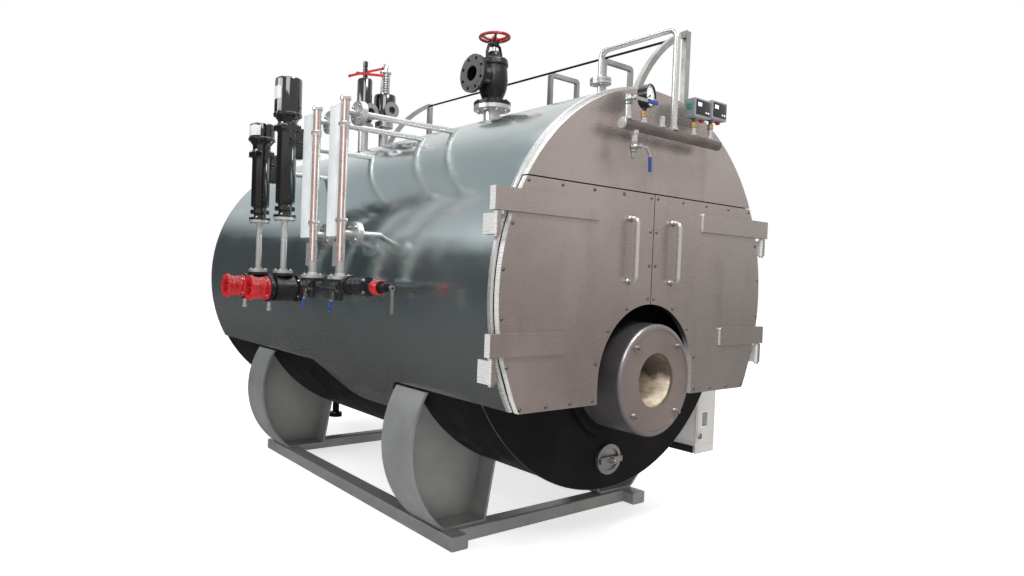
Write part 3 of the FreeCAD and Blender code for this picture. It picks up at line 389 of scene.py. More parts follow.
# Painted shadow: the top of the bore is painted near black, the shadow that the plate casts into the throat.
painted_shadow = fibre.spread(fibre.along(2) + fibre.noise(12.0, 4, 0.6) * 0.10, 0.795, 0.835, 0, 0.92)
fibre.feed("Base Color", fibre.blend(painted_shadow, creased, (0.045, 0.031, 0.025)))
bare_steel = two_tone("bare_steel", (0.38, 0.385, 0.39), (0.56, 0.565, 0.57),
                      (0.25, 0.42), 0.95, 80.0, 0.04, 7.0)
silver_paint = two_tone("silver_paint", (0.52, 0.525, 0.52), (0.64, 0.645, 0.64),
                        (0.25, 0.30), 0.7, 40.0, 0.01, 2.0)
panel_white = two_tone("panel_white", (0.50, 0.53, 0.55), (0.70, 0.71, 0.70),
                       (0.25, 0.45), 0.0, 40.0, 0.15, 5.0)
# Painted shade: the handwheel's red is a darker copy of the red paint, for the shade on a wheel seen from
# below.
wheel_red = two_tone("wheel_red", (0.20, 0.008, 0.010), (0.36, 0.018, 0.018),
                     (0.2, 0.36), 0.0, 120.0, 0.1, 9.0, Coat_Weight=0.5)
screw_steel = two_tone("screw_steel", (0.14, 0.13, 0.125), (0.24, 0.22, 0.21),
                       (0.25, 0.4), 0.9, 60.0, 0.1, 6.0)
plated = two_tone("plated_steel", (0.60, 0.60, 0.61), (0.78, 0.78, 0.79), (0.15, 0.21), 1.0, 50.0, 0.01, 3.0)
cast_black = two_tone("cast_black", (0.008, 0.008, 0.009), (0.022, 0.022, 0.024),
                      (0.22, 0.40), 0.1, 160.0, 0.2, 8.0)
casting = two_tone("valve_casting", (0.004, 0.004, 0.0045), (0.014, 0.014, 0.015),
                   (0.24, 0.40), 0.1, 160.0, 0.12, 8.0)
machined = casting.spread(casting.facing(0), -0.90, -0.97) * casting.spread(casting.along(0), -0.148, -0.1485)
casting.feed("Base Color", casting.blend(machined, (0.008, 0.008, 0.009), (0.11, 0.11, 0.115)))
gloss_black = two_tone("gloss_black", (0.004, 0.004, 0.005), (0.010, 0.010, 0.011),
                       (0.06, 0.14), 0.0, 60.0, 0.04, 4.0, Coat_Weight=1.0)
red_paint = two_tone("red_paint", (0.36, 0.008, 0.014), (0.54, 0.018, 0.024),
                     (0.22, 0.38), 0.0, 120.0, 0.08, 9.0, Coat_Weight=0.4)
header_paint = two_tone("header_paint", (0.095, 0.086, 0.08), (0.185, 0.168, 0.158),
                        (0.22, 0.38), 0.6, 90.0, 0.06, 5.0)
switch_grey = two_tone("switch_grey", (0.16, 0.18, 0.19), (0.24, 0.26, 0.27),
                       (0.35, 0.5), 0.0, 150.0, 0.1, 9.0)
dark_window = two_tone("dark_window", (0.010, 0.011, 0.013), (0.02, 0.021, 0.024),
                       (0.10, 0.2), 0.0, 60.0, 0.03, 9.0)
cabinet_paint = two_tone("cabinet_paint", (0.46, 0.445, 0.43), (0.56, 0.545, 0.53),
                         (0.32, 0.45), 0.0, 140.0, 0.2)
brass = two_tone("brass", (0.58, 0.40, 0.14), (0.75, 0.56, 0.24), (0.2, 0.35), 1.0, 90.0, 0.1, 12.0)
white_enamel = two_tone("white_enamel", (0.74, 0.74, 0.73), (0.84, 0.84, 0.83),
                        (0.2, 0.35), 0.0, 90.0, 0.05, 8.0)
rail_steel = two_tone("rail_steel", (0.24, 0.235, 0.225), (0.42, 0.415, 0.40),
                      (0.32, 0.48), 0.6, 90.0, 0.06, 6.0)
studio_floor = two_tone("studio_floor", (0.90, 0.90, 0.90), (0.93, 0.93, 0.93),
                        (0.6, 0.7), 0.0, 20.0, 0.02, 1.0, Emission_Color=(1, 1, 1, 1), Emission_Strength=0.62)

# %% Finishes on the nodes
dress(studio_floor, floor)
dress(black_steel, "pressure_shell", "front_plate", "bottom_drain", "furnace_tube", "furnace_ring")
dress(black_steel, "door_sills")
dress(rear_paint, "rear_end_plate", "rear_cover", "flue_outlet")
dress(skid_paint, "skid_beams", "cross_beams", "saddles")
dress(polished, "burner_drum")
dress(ring_plate, "burner_plate")
dress(fibre, "throat_lining")
dress(bare_steel, "handhole_cover")
dress(silver_paint, "steam_nozzle", "safety_valves", "riser_pipe")
dress(silver_paint, "level_gauges", "gauge_links", "column_pipes")
dress(bare_steel, "header_cocks", "blowdown_lever")
dress(rail_steel, "top_rail")
dress(cast_black, "gauge_drains", "steam_valve_body", "feed_bodies", "blowdown_valve", "pressure_gauge")
dress(gloss_black, "level_columns")
dress(red_paint, "steam_handwheel", "safety_lever_left", "safety_lever_right", "check_valves")
dress(header_paint, "gauge_header")
dress(switch_grey, "pressure_switches")
print("materials so far:", len(bpy.data.materials))


# %% [markdown]
# The small cocks have bright steel levers with a blue plastic sleeve dipped over the end. The
# lever is one piece, so one material holds both and changes over at a place along the lever.

# %% Sleeved cock levers
def tipped(name, axis, start, end):
    """Bright steel with a blue plastic sleeve past a given place along one axis."""
    f = Finish(name)
    sleeve = f.spread(f.along(axis), mm(start), mm(end))
    speck = f.noise(30.0, 3, 0.6)
    f.feed("Base Color", f.blend(sleeve, f.blend(speck, (0.50, 0.50, 0.51), (0.66, 0.66, 0.67)),
                                 f.blend(speck, (0.012, 0.04, 0.17), (0.022, 0.07, 0.27))))
    f.feed("Metallic", f.spread(sleeve, 0, 1, 0.95, 0.0))
    f.feed("Roughness", f.spread(speck, 0.3, 0.7, 0.22, 0.38))
    f.feed("Normal", f.bump(f.noise(150.0, 2, 0.5), 0.08, 0.0005))
    return f


dress(tipped("header_cock_grip", 0, -222, -220), "header_cock_handle")
dress(tipped("drain_cock_grip", 2, 1657, 1655), "drain_cock_handle")
dress(tipped("gauge_cock_grip", 2, 1042, 1040), "gauge_handle_front", "gauge_handle_rear")
dress(cabinet_paint, "control_cabinet")

# %% [markdown]
# ## Tools for small parts
# Most fittings are turned shapes or copies of one bolt. A turned part starts as a single
# point that is pulled into a half outline and then spun round the axis, just as on a lathe.
# Bolts are modelled once and copied, each copy with a mesh of its own, so that every finished
# object can stay at the origin.

# %% Turning and placing
def aim(place, direction=UP):
    """Carries a part that was built upright at the origin to its place and direction."""
    turn = Vector(UP).rotation_difference(Vector(direction)).to_matrix().to_4x4()
    return Matrix.Translation(Vector(place)) @ turn


def only(o):
    deselect()
    o.select_set(True)
    bpy.context.view_layer.objects.active = o
    return o


def settle(o, place, direction=UP):
    only(o)
    o.matrix_world = aim(place, direction) @ o.matrix_world
    bpy.ops.object.transform_apply()
    return o


def turned(profile, place=(0, 0, 0), direction=UP, steps=48):
    """Spins (radius, height) points, in millimetres, into a part standing at the place."""
    deselect()
    bpy.ops.mesh.primitive_plane_add(size=0.001)
    o = bpy.context.object
    bpy.ops.object.mode_set(mode="EDIT")
    bpy.ops.mesh.merge(type="CENTER")
    bpy.ops.transform.translate(value=(mm(profile[0][0]), 0, mm(profile[0][1])))
    for (r0, h0), (r1, h1) in zip(profile, profile[1:]):
        step = (mm(r1 - r0), 0, mm(h1 - h0))
        bpy.ops.mesh.extrude_region_move(TRANSFORM_OT_translate={"value": step})
    bpy.ops.mesh.select_all(action="SELECT")
    bpy.ops.mesh.spin(steps=steps, angle=2 * math.pi, center=(0, 0, 0), axis=UP)
    bpy.ops.mesh.select_all(action="SELECT")
    bpy.ops.mesh.remove_doubles(threshold=0.00003)
    bpy.ops.mesh.normals_make_consistent(inside=False)
    bpy.ops.object.mode_set(mode="OBJECT")
    return settle(o, place, direction)


def bar(low, high, bevel=1.5, segments=2):
    """A block between two corners, in millimetres, with its edges eased."""
    deselect()
    middle = [mm((a + b) / 2) for a, b in zip(low, high)]
    bpy.ops.mesh.primitive_cube_add(size=1, location=middle)
    o = bpy.context.object
    o.scale = [mm(b - a) for a, b in zip(low, high)]
    bpy.ops.object.transform_apply()
    return eased(o, bevel, segments)


def eased(o, width, segments=2):
    only(o)
    soft = o.modifiers.new("ease", "BEVEL")
    soft.width = mm(width)
    soft.segments = segments
    soft.limit_method = "ANGLE"
    bpy.ops.object.modifier_apply(modifier=soft.name)
    return o


def round_bar(points, radius):
    """A round bar along straight runs: a bevelled curve, made into a mesh."""
    line = bpy.data.curves.new("bar", "CURVE")
    line.dimensions = "3D"
    line.bevel_depth = mm(radius)
    line.bevel_resolution = 5
    line.use_fill_caps = True
    run = line.splines.new("POLY")
    run.points.add(len(points) - 1)
    for point, place in zip(run.points, points):
        point.co = (*[mm(v) for v in place], 1)
    o = bpy.data.objects.new("bar", line)
    bpy.context.scene.collection.objects.link(o)
    only(o)
    bpy.ops.object.convert(target="MESH")
    return bpy.context.object


def joined(parts):
    deselect()
    for part in parts:
        part.select_set(True)
    bpy.context.view_layer.objects.active = parts[0]
    if len(parts) > 1:
        bpy.ops.object.join()
    return bpy.context.object


def fit(o, name, finish, body=ROOT, smooth=32):
    """Names a part, finishes it and hangs it on the body that carries it."""
    only(o)
    o.name = name
    bpy.ops.object.shade_smooth_by_angle(angle=math.radians(smooth))
    dress(finish, o)
    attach(o, body)
    print(name, "has", len(o.data.polygons), "faces")
    return o


def copies(master, places, direction):
    made = []
    for place in places:
        o = bpy.data.objects.new("copy", master.data.copy())
        bpy.context.scene.collection.objects.link(o)
        o.data.transform(aim(place, direction))
        made.append(o)
    return joined(made)


# %% [markdown]
# A bolt end shows a washer, a hexagon nut and the tip of a stud. The door screws have domed
# heads on a thin skirt. Two sizes of bolt and one screw serve the whole boiler.

# %% Bolts and screws
def hex_bolt(size):
    """A nut with a stud end and a washer; size is the stud's radius in millimetres."""
    deselect()
    bpy.ops.mesh.primitive_cylinder_add(vertices=6, radius=mm(size * 1.8), depth=mm(size * 1.5),
                                        location=(0, 0, mm(size * 1.05)))
    nut = eased(bpy.context.object, size * 0.16)
    washer = turned([(0, 0), (size * 2.05, 0), (size * 2.05, size * 0.3), (0, size * 0.3)], steps=16)
    tip = size * 2.6
    stud = turned([(0, 0), (size, 0), (size, size * 2.3), (size * 0.8, tip), (0, tip)], steps=12)
    return joined([nut, washer, stud])


def circle_of(count, radius, centre, axis):
    """Places spread evenly on a circle about an axis, the first one half a step round."""
    spots = []
    for i in range(count):
        angle = 2 * math.pi * (i + 0.5) / count
        u, v = mm(radius) * math.cos(angle), mm(radius) * math.sin(angle)
        flat = {"X": (0, u, v), "Y": (u, 0, v), "Z": (u, v, 0)}[axis]
        spots.append([a + b for a, b in zip(centre, flat)])
    return spots


small_bolt = hex_bolt(4.5)
large_bolt = hex_bolt(8.0)
screw = turned([(0, 4.2), (3.0, 3.8), (5.0, 2.4), (5.8, 1.0), (8.0, 1.0), (8.0, 0), (0, 0)], steps=16)
masters = [small_bolt, large_bolt, screw]


def bolt_ring(count, radius, centre, way, kind=small_bolt):
    """Bolts spread on a circle about the axis that they point along."""
    axis = "XYZ"[[abs(part) for part in way].index(1)]
    return copies(kind, circle_of(count, radius, centre, axis), way)


print("faces on one small bolt:", len(small_bolt.data.polygons))

# %% [markdown]
# ## The doors
# The sheet face of each door is held by a row of dome-headed screws that follows its edge.
# Both doors have the same pattern, mirrored, so the left one's places are written once.

# %% Door screws
SCREWS = [(-727, 1520), (-553, 1520), (-376, 1520), (-199, 1520), (-22, 1520), (-798, 1361), (-834, 1198),
          (-833, 1024), (-801, 851), (-730, 697), (-597, 697), (-467, 697), (-340, 698), (-154, 1059),
          (-264, 970), (-329, 843), (-20, 1380), (-20, 1239), (-20, 1101)]
for side, door in ((1, "door_left"), (-1, "door_right")):
    spots = [(mm(side * x), FRONT, mm(z)) for x, z in SCREWS]
    fit(copies(screw, spots, AHEAD), door + "_screws", screw_steel, door)
print("screws on each door:", len(SCREWS))

# %% [markdown]
# Each handle is a bright bar, polished by hands, and stands on the door on two small feet.
# The bar itself comes from the construction; we add the round weld collars at its feet.

# %% Handle feet
for x, door in ((-152, "door_left"), (131, "door_right")):
    collar = [(10.2, 0), (15, 0), (14, 2), (11.2, 4.5), (10.2, 6), (10.2, 0)]
    feet = [turned(collar, (mm(x), FRONT, mm(z)), AHEAD, 24) for z in (1170, 1424)]
    fit(joined(feet), door + "_handle_feet", bare_steel, door)

# %% [markdown]
# A turned strip goes all the way round, but the real ones stop where the doors or the skid
# begin. A bisect at one height takes off the part that isn't there and closes the cut.

# %% Cutting at a level
def cut_level(o, z, keep_above):
    """Cuts a part at a height, keeps one side and closes the cut."""
    only(o)
    bpy.ops.object.mode_set(mode="EDIT")
    bpy.ops.mesh.select_all(action="SELECT")
    bpy.ops.mesh.bisect(plane_co=(0, 0, z), plane_no=UP, clear_inner=keep_above, clear_outer=not keep_above,
                        use_fill=True)
    bpy.ops.object.mode_set(mode="OBJECT")
    return o


# %% [markdown]
# Where the jacket meets the smokebox, a bright stainless strip covers its raw front edge. It
# is a thin angle, turned about the shell's axis, that stands a little proud of the paint.

# %% Front edge strip
angle_line = [(850.6, 0), (863.5, 0), (864.5, 1), (864.5, 16), (862.2, 16.4), (862.2, 1.4), (850.6, 1.4),
              (850.6, 0)]
strip = turned(angle_line, (0, FRONT + mm(27.5), AXIS_Z), BACK, 160)
cut_level(strip, mm(684), True)
fit(strip, "front_edge_strip", silver_paint)

# The front plate of the pressure shell gets a thin ring in brighter steel where it shows below, which stands
# for the highlight along its edge: a painted highlight.
rim = turned([(856, -1), (857.6, -1), (858.4, 0), (858.4, 3), (857.6, 4), (856, 4), (856, -1)],
             (0, FRONT + mm(190), AXIS_Z), BACK, 160)
fit(cut_level(rim, mm(682), False), "front_plate_rim", screw_steel)

# %% [markdown]
# ## The burner mouth
# The burner will hang on four studs, each with its nut already run on. The hole behind is
# lined with ceramic fibre blanket, so that surface is lumpy and frayed. We give a turned tube
# many faces and push them about with a noise texture, which no bump alone could show.

# %% Burner nuts and fibre lining
burner_nuts = bolt_ring(4, 195, (0, FRONT - mm(43), FURNACE_Z), AHEAD, large_bolt)
fit(burner_nuts, "burner_nuts", plated)
bore_rows = [(103, 4 + 12 * i) for i in range(1, 18)]
lining = turned([(228, 0), (106, 0), (104, 4)] + bore_rows + [(228, 216), (228, 0)],
                (0, FRONT - mm(30.5), FURNACE_Z), BACK, 120)
lumps = bpy.data.textures.new("fibre_lumps", "CLOUDS")
lumps.noise_scale = 0.03
lumps.noise_depth = 3
push = lining.modifiers.new("lumps", "DISPLACE")
push.texture = lumps
push.strength = mm(9)
push.mid_level = 0.75
only(lining)
bpy.ops.object.modifier_apply(modifier=push.name)
fit(lining, "fibre_lining", fibre, smooth=60)
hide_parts("throat_lining")
ring_weld = turned([(240, 0), (252, 0), (252, 2), (240, 2), (240, 0)],
                   (0, FRONT + mm(168), FURNACE_Z), BACK, 64)
fit(ring_weld, "ring_weld", black_steel)

# %% [markdown]
# ## The steam valve
# The main stop valve is an angle valve in cast iron: a round body with a flange below and
# another at its side, a bonnet bolted on top, and a yoke that carries the spindle. Casting
# rounds everything, so the outline is turned with many small steps instead of sharp corners.

# %% Steam valve body
VALVE_Z = mm(2086.3)
SIDE_Z = mm(2238)
body_line = [(40, 0), (69, 0), (69, 1.5), (100, 1.5), (100, 19), (98, 20), (64, 22), (58, 28), (57, 40),
             (61, 54), (69, 72), (75, 92), (78, 115), (79, 140), (78, 165), (76, 185), (74, 200), (74, 212),
             (78, 214), (79, 217), (79, 229), (78, 231), (76, 233), (76, 244), (73, 249), (60, 257),
             (46, 263), (36, 270), (32, 280), (31, 290), (27, 294), (11.5, 294), (11.5, 262), (11.5, 245),
             (40, 238), (40, 0)]
valve = turned(body_line, (0, STEAM_Y, VALVE_Z), steps=72)
side_line = [(39.5, 20), (39.5, 150), (69, 150), (69, 148.5), (100, 148.5), (100, 131), (98, 130), (62, 128),
             (56, 122), (53, 110), (54, 92), (60, 74), (62, 60), (52, 40), (44, 20), (39.5, 20)]
side = turned(side_line, (0, STEAM_Y, SIDE_Z), LEFT, 72)


def pierced(o, places, direction, radius, depth):
    """Cuts round holes with one boolean."""
    deselect()
    bpy.ops.mesh.primitive_cylinder_add(vertices=20, radius=mm(radius), depth=mm(depth))
    drill = bpy.context.object
    drills = copies(drill, places, direction)
    bpy.data.objects.remove(drill)
    cut = o.modifiers.new("holes", "BOOLEAN")
    cut.object = drills
    cut.operation = "DIFFERENCE"
    only(o)
    bpy.ops.object.modifier_apply(modifier=cut.name)
    bpy.data.objects.remove(drills)
    return o


pierced(side, circle_of(8, 80, (mm(-140), STEAM_Y, SIDE_Z), "X"), RIGHT, 9, 60)
yoke = [round_bar([(s * x, STEAM_LINE, z) for x, z in ((48, 2340), (50, 2372), (38, 2412), (14, 2424))], 8)
        for s in (-1, 1)]
yoke_top = turned([(11.5, 0), (24, 0), (26, 3), (26, 22), (22, 25), (11.5, 25), (11.5, 0)],
                  (0, STEAM_Y, mm(2412)))
valve = fit(joined([valve, side, yoke_top] + yoke), "steam_valve", casting)
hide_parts("steam_valve_body")
bonnet_bolts = bolt_ring(8, 61, (0, STEAM_Y, VALVE_Z + mm(250)), UP)
fit(bonnet_bolts, "bonnet_bolts", cast_black)
pair_bolts = bolt_ring(8, 80, (0, STEAM_Y, VALVE_Z + mm(19)), UP, large_bolt)
under_bolts = bolt_ring(8, 80, (0, STEAM_Y, mm(2066)), DOWN, large_bolt)
fit(pair_bolts, "steam_flange_nuts", casting)
fit(under_bolts, "steam_flange_bolts", plated)
print("steam valve faces:", len(valve.data.polygons))

# %% [markdown]
# The handwheel is dished: its spokes rise from the hub to the rim, so that knuckles clear the
# yoke. A torus makes the rim, and one curved spoke is laid five times round the hub.

# %% Handwheel
deselect()
bpy.ops.mesh.primitive_torus_add(major_radius=mm(78.5), minor_radius=mm(8.5), major_segments=64,
                                 minor_segments=16, location=(0, STEAM_Y, mm(2459)))
rim = bpy.context.object
hub = turned([(0, -18), (17, -18), (19, -14), (19, 4), (16, 7), (0, 7)], (0, STEAM_Y, mm(2450)), steps=32)
SPOKE_LINE = ((12, 2446), (32, 2446), (52, 2450), (66, 2456), (76, 2459))
spokes = []
for i in range(5):
    angle = 2 * math.pi * i / 5 + 0.3
    c, s = math.cos(angle), math.sin(angle)
    spokes.append(round_bar([(r * c, STEAM_LINE + r * s, z) for r, z in SPOKE_LINE], 7.5))
wheel = joined([rim, hub] + spokes)
fit(wheel, "steam_wheel", wheel_red, "steam_handwheel", 60)
spindle = turned([(0, -100), (10, -100), (10, 2), (8, 11), (6, 11), (6, 15.5), (0, 15.5)],
                 (0, STEAM_Y, mm(2456)), steps=24)
deselect()
bpy.ops.mesh.primitive_cylinder_add(vertices=6, radius=mm(13), depth=mm(9), location=(0, STEAM_Y, mm(2463)))
spindle = joined([spindle, eased(bpy.context.object, 1)])
fit(spindle, "steam_spindle", plated, "steam_handwheel")
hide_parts("steam_handwheel")

# %% [markdown]
# ## Level gauges
# Each gauge is a bright tube between two flanged arms, with red indicator lines down its
# face and a white scale panel beside it. The panel still wears its thin film, so its white is
# uneven. The flanged arms are turned on the X axis and bolted to the arms on the boiler.

# %% Level gauges
LINK_ZS = (1852, 1334)
LINK_FACE = -960
indicator = two_tone("indicator_red", (0.36, 0.15, 0.095), (0.56, 0.28, 0.20),
                     (0.25, 0.4), 0.4, 120.0, 0.1, 12.0)
arm_line = [(13.5, 0), (13.5, 54), (20, 56), (52.5, 56), (52.5, 69.5), (0, 69.5)]
tube_line = [(0, 0), (52, 0), (52, 15), (24, 16), (23, 22), (19, 25), (19, 234), (21.5, 235), (21.5, 247),
             (19, 248), (19, 645), (21.5, 646), (21.5, 658), (19, 659), (19, 762), (24, 763), (24, 775),
             (18, 782), (0, 783)]
tubes, panels, lines, plates = [], [], [], []
for y in TUBE_YS:
    y_mm = y * 1000
    tubes.append(turned(tube_line, (mm(GAUGE_LINE), y, mm(1135.3))))
    tubes += [turned(arm_line, (mm(GAUGE_LINE), y, mm(z)), RIGHT) for z in LINK_ZS]
    panels.append(bar((-1044, y_mm + 17, 1320), (-1030, y_mm + 112, 1888), 3))
    panels.append(bar((-1046.5, y_mm + 24, 1330), (-1043, y_mm + 104, 1878), 1))
    plates.append(bar((-1036, y_mm + 15, 1190), (-1028, y_mm + 62, 1295), 1.5))
    plates += [bar((-1049, y_mm - 22, z - 7), (-1012, y_mm + 24, z + 7), 2) for z in (1799, 1388)]
    for turn in (205, 232, 259):
        c, s = math.cos(math.radians(turn)), math.sin(math.radians(turn))
        lines.append(round_bar([(GAUGE_LINE + 19.5 * c, y_mm + 19.5 * s, z) for z in (1215, 1898)], 2.6))
tubes = fit(joined(tubes), "gauge_tubes", silver_paint)
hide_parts("level_gauges")
fit(joined(panels), "gauge_panels", panel_white)
fit(joined(lines[0::3] + lines[2::3]), "gauge_red_lines", indicator)
fit(joined(lines[1::3]), "gauge_white_lines", white_enamel)
fit(joined(plates), "gauge_clamps", silver_paint)

# %% [markdown]
# Every flange on a gauge has four bright bolts, and a nut shows on each side of the pair.

# %% Flange bolts
bolts = []
for y in TUBE_YS:
    for z in LINK_ZS:
        for step, way in ((14, RIGHT), (-14, LEFT)):
            bolts.append(bolt_ring(4, 38, (mm(LINK_FACE + step), y, mm(z)), way))
    bolts += [bolt_ring(4, 38, (mm(GAUGE_LINE), y, mm(z)), way) for z, way in ((1150, UP), (1121, DOWN))]
fit(joined(bolts), "gauge_bolts", plated)
print("bolt groups on the gauges:", len(bolts))

# %% [markdown]
# ## Level controls
# The two black columns hold the level switches. They are enamelled castings with a heavy gloss,
# so facets would show at once: each is turned with many steps, and its square clamp block and
# rear junction box are added as eased blocks.

# %% Black columns
def column(y, barrel_top, cap_low, top):
    line = [(0, 1425), (54, 1425), (56, 1427), (56, 1437), (32, 1440), (30, 1456), (48, 1458), (50, 1461),
            (50, 1476), (48, 1478), (34, 1481), (34, 1490), (44, 1494), (48, 1502), (48, barrel_top - 8),
            (51, barrel_top - 4), (51, barrel_top + 34), (47, barrel_top + 38), (48, cap_low - 26),
            (62, cap_low - 6), (69, cap_low - 3), (71, cap_low), (71, cap_low + 10), (67, cap_low + 14),
            (67, top - 12), (65, top - 5), (59, top), (0, top)]
    block = bar((-1084, y - 47, barrel_top), (-976, y + 47, barrel_top + 30), 5, 3)
    rear = bar((-1000, y - 36, barrel_top - 130), (-938, y + 36, barrel_top + 20), 8, 3)
    return [turned(line, (mm(GAUGE_LINE), mm(y), 0), steps=96), block, rear]


def label(y, low, high, turn, width):
    """A blank white sheet stuck on a cap: a slice of an open cylinder with some thickness."""
    deselect()
    bpy.ops.mesh.primitive_cylinder_add(vertices=96, radius=mm(67.3), depth=mm(high - low),
                                        end_fill_type="NOTHING", location=(0, 0, mm((low + high) / 2)))
    o = bpy.context.object
    bpy.ops.object.transform_apply()
    middle = Vector((math.cos(math.radians(turn)), math.sin(math.radians(turn)), 0))
    bpy.ops.object.mode_set(mode="EDIT")
    bpy.ops.mesh.select_mode(type="FACE")
    bpy.ops.mesh.select_all(action="DESELECT")
    bpy.ops.object.mode_set(mode="OBJECT")
    for face in o.data.polygons:
        out = Vector((face.center.x, face.center.y, 0)).normalized()
        face.select = out.dot(middle) < math.cos(math.radians(width / 2))
    bpy.ops.object.mode_set(mode="EDIT")
    bpy.ops.mesh.delete(type="FACE")
    bpy.ops.mesh.select_mode(type="VERT")
    bpy.ops.object.mode_set(mode="OBJECT")
    thick = o.modifiers.new("sheet", "SOLIDIFY")
    thick.thickness = mm(1.2)
    thick.offset = 0
    bpy.ops.object.modifier_apply(modifier=thick.name)
    bpy.ops.object.mode_set(mode="EDIT")
    bpy.ops.mesh.select_all(action="SELECT")
    bpy.ops.mesh.normals_make_consistent(inside=False)
    bpy.ops.object.mode_set(mode="OBJECT")
    return settle(o, (mm(GAUGE_LINE), mm(y), 0))


COLUMN_SIZES = ((840, 1850, 1923, 2108), (1160, 1757, 1846, 1932))
bodies, labels, column_bolts = [], [], []
for y, barrel_top, cap_low, top in COLUMN_SIZES:
    bodies += column(y, barrel_top, cap_low, top)
    corners = [(mm(GAUGE_LINE + i), mm(y + j), mm(barrel_top + 30)) for i in (-45, 45) for j in (-38, 38)]
    column_bolts.append(copies(small_bolt, corners, UP))
    for radius, z, way in ((44, 1437, UP), (44, 1412, DOWN), (40, 1164, UP)):
        column_bolts.append(bolt_ring(4, radius, (mm(GAUGE_LINE), mm(y), mm(z)), way))
labels = [label(840, 2000, 2062, 190, 50), label(1160, 1866, 1918, 203, 72)]
print("faces on the labels:", [len(o.data.polygons) for o in labels])
bodies = fit(joined(bodies), "level_control_bodies", gloss_black)
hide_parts("level_columns")
fit(joined(labels), "blank_labels", panel_white)
fit(joined(column_bolts), "column_bolts", plated)

# %% [markdown]
# ## Feed and blowdown valves
# The feed line comes in through red check valves into black bodies. Their flanges are held by
# bright nuts, which stand out against the dark castings.

# %% Feed valve bolts and blowdown ring
feed_bolts = []
FEED_RINGS = ((6, 54, FEED_OUTER, RIGHT), (4, 56, FEED_INNER, LEFT), (4, 50, -1126, LEFT))
for y in COLUMN_YS:
    for count, radius, x, way in FEED_RINGS:
        feed_bolts.append(bolt_ring(count, radius, (mm(x), y, FEED_Z), way))
fit(joined(feed_bolts), "feed_bolts", plated)
tails = [turned([(9.3, 0), (12, 0), (12, 16), (10, 18), (10, 26), (12, 28), (12, 44), (9.3, 46), (9.3, 0)],
                (mm(FEED_OUTER), y, mm(963)), steps=24) for y in COLUMN_YS]
fit(joined(tails), "feed_drain_tails", silver_paint)
BARREL = [(44.2, 0), (49, 1), (52, 5), (53, 10), (53, 20), (50, 24), (50, 42), (53, 46), (53, 60), (50, 66),
          (44.2, 70), (44.2, 0)]
barrels = [turned(BARREL, (mm(-1188), y, FEED_Z), RIGHT) for y in COLUMN_YS]
fit(joined(barrels), "check_valve_barrels", red_paint)


def on_blowdown(distance):
    """A place on the blowdown valve's axis, in millimetres behind the front face."""
    return (mm(GAUGE_LINE), FRONT + mm(distance), mm(1112))


ring = turned([(24.2, 0), (28, 0), (29, 2), (29, 44), (28, 46), (24.2, 46), (24.2, 0)],
              on_blowdown(480), BACK)
fit(ring, "blowdown_ring", red_paint)
collars = [turned([(33, 0), (34, 0), (35, 2), (35, 8), (33, 10), (33, 0)], on_blowdown(d), BACK)
           for d in (606, 640, 674)]
fit(joined(collars), "blowdown_collars", cast_black)
fit(bolt_ring(4, 33, on_blowdown(575), AHEAD), "blowdown_bolts", plated)

# %% [markdown]
# ## Safety valves
# Two lever safety valves stand on the shell. One hides its spring in a tall black bonnet, the
# other shows bright posts over a black body. A helix of round wire makes the open spring.

# %% Safety valves
SAFETY_PLACES = ((-335, 2030), (-190, 2062))
(closed_x, closed_z), (open_x, open_z) = SAFETY_PLACES
SAFETY_LINE = 1290


def valve_foot(x, z):
    foot_line = [(30, -135), (30, -2), (56, 0), (56, 15.5), (54, 16), (54, 16.4), (56, 17), (56, 32),
                 (36, 34), (34, 44), (34, 60), (0, 60)]
    return turned(foot_line, (mm(x), SAFETY_Y, mm(z)))


feet = [valve_foot(x, z) for x, z in SAFETY_PLACES]
mouth = [(22, 8), (22, 88), (50, 88), (50, 76), (30, 73), (30, 30), (22, 8)]
feet += [turned(mouth, (mm(x), SAFETY_Y, mm(z + 95)), AHEAD) for x, z in SAFETY_PLACES]
feet = fit(joined(feet), "safety_feet", bare_steel)
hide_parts("safety_valves")
on_closed = (mm(closed_x), SAFETY_Y, mm(closed_z))
on_open = (mm(open_x), SAFETY_Y, mm(open_z))
closed = turned([(30, 40), (44, 44), (50, 54), (50, 120), (56, 126), (56, 142), (47, 144), (46, 150),
                 (46, 292), (42, 302), (22, 306), (0, 306)], on_closed)
opened = turned([(30, 50), (60, 56), (68, 66), (68, 186), (64, 196), (52, 200), (0, 200)], on_open)
cap_a = turned([(15, 306), (15, 366), (12, 368), (12, 376), (15, 378), (15, 406), (11, 412), (0, 412),
                (0, 306)], on_closed)
cap_b = turned([(12, 200), (12, 330), (15, 332), (15, 386), (12, 392), (0, 392), (0, 200)], on_open)
posts = [round_bar([(open_x + s * 24, SAFETY_LINE, z) for z in (2258, 2408)], 8.5) for s in (-1, 1)]
bridge = bar((open_x - 34, SAFETY_LINE - 14, 2392), (open_x + 34, SAFETY_LINE + 14, 2408), 3)
SPRING_TURNS, STEPS_PER_TURN, SPRING_R, SPRING_LENGTH = 8, 12, 18, 118
spring = []
for i in range(SPRING_TURNS * STEPS_PER_TURN + 1):
    angle = 2 * math.pi * i / STEPS_PER_TURN
    rise = SPRING_LENGTH * i / (SPRING_TURNS * STEPS_PER_TURN)
    across, along = SPRING_R * math.cos(angle), SPRING_R * math.sin(angle)
    spring.append((open_x + across, SAFETY_LINE + along, 2266 + rise))
fit(joined([closed, opened, cap_a]), "safety_bonnets", gloss_black)
fit(joined([cap_b, bridge, round_bar(spring, 2.6)] + posts), "safety_spindles", plated)
safety_bolts = []
for x, z in SAFETY_PLACES:
    centre = (mm(x), SAFETY_Y, mm(z + 32))
    safety_bolts.append(bolt_ring(4, 45, centre, UP))
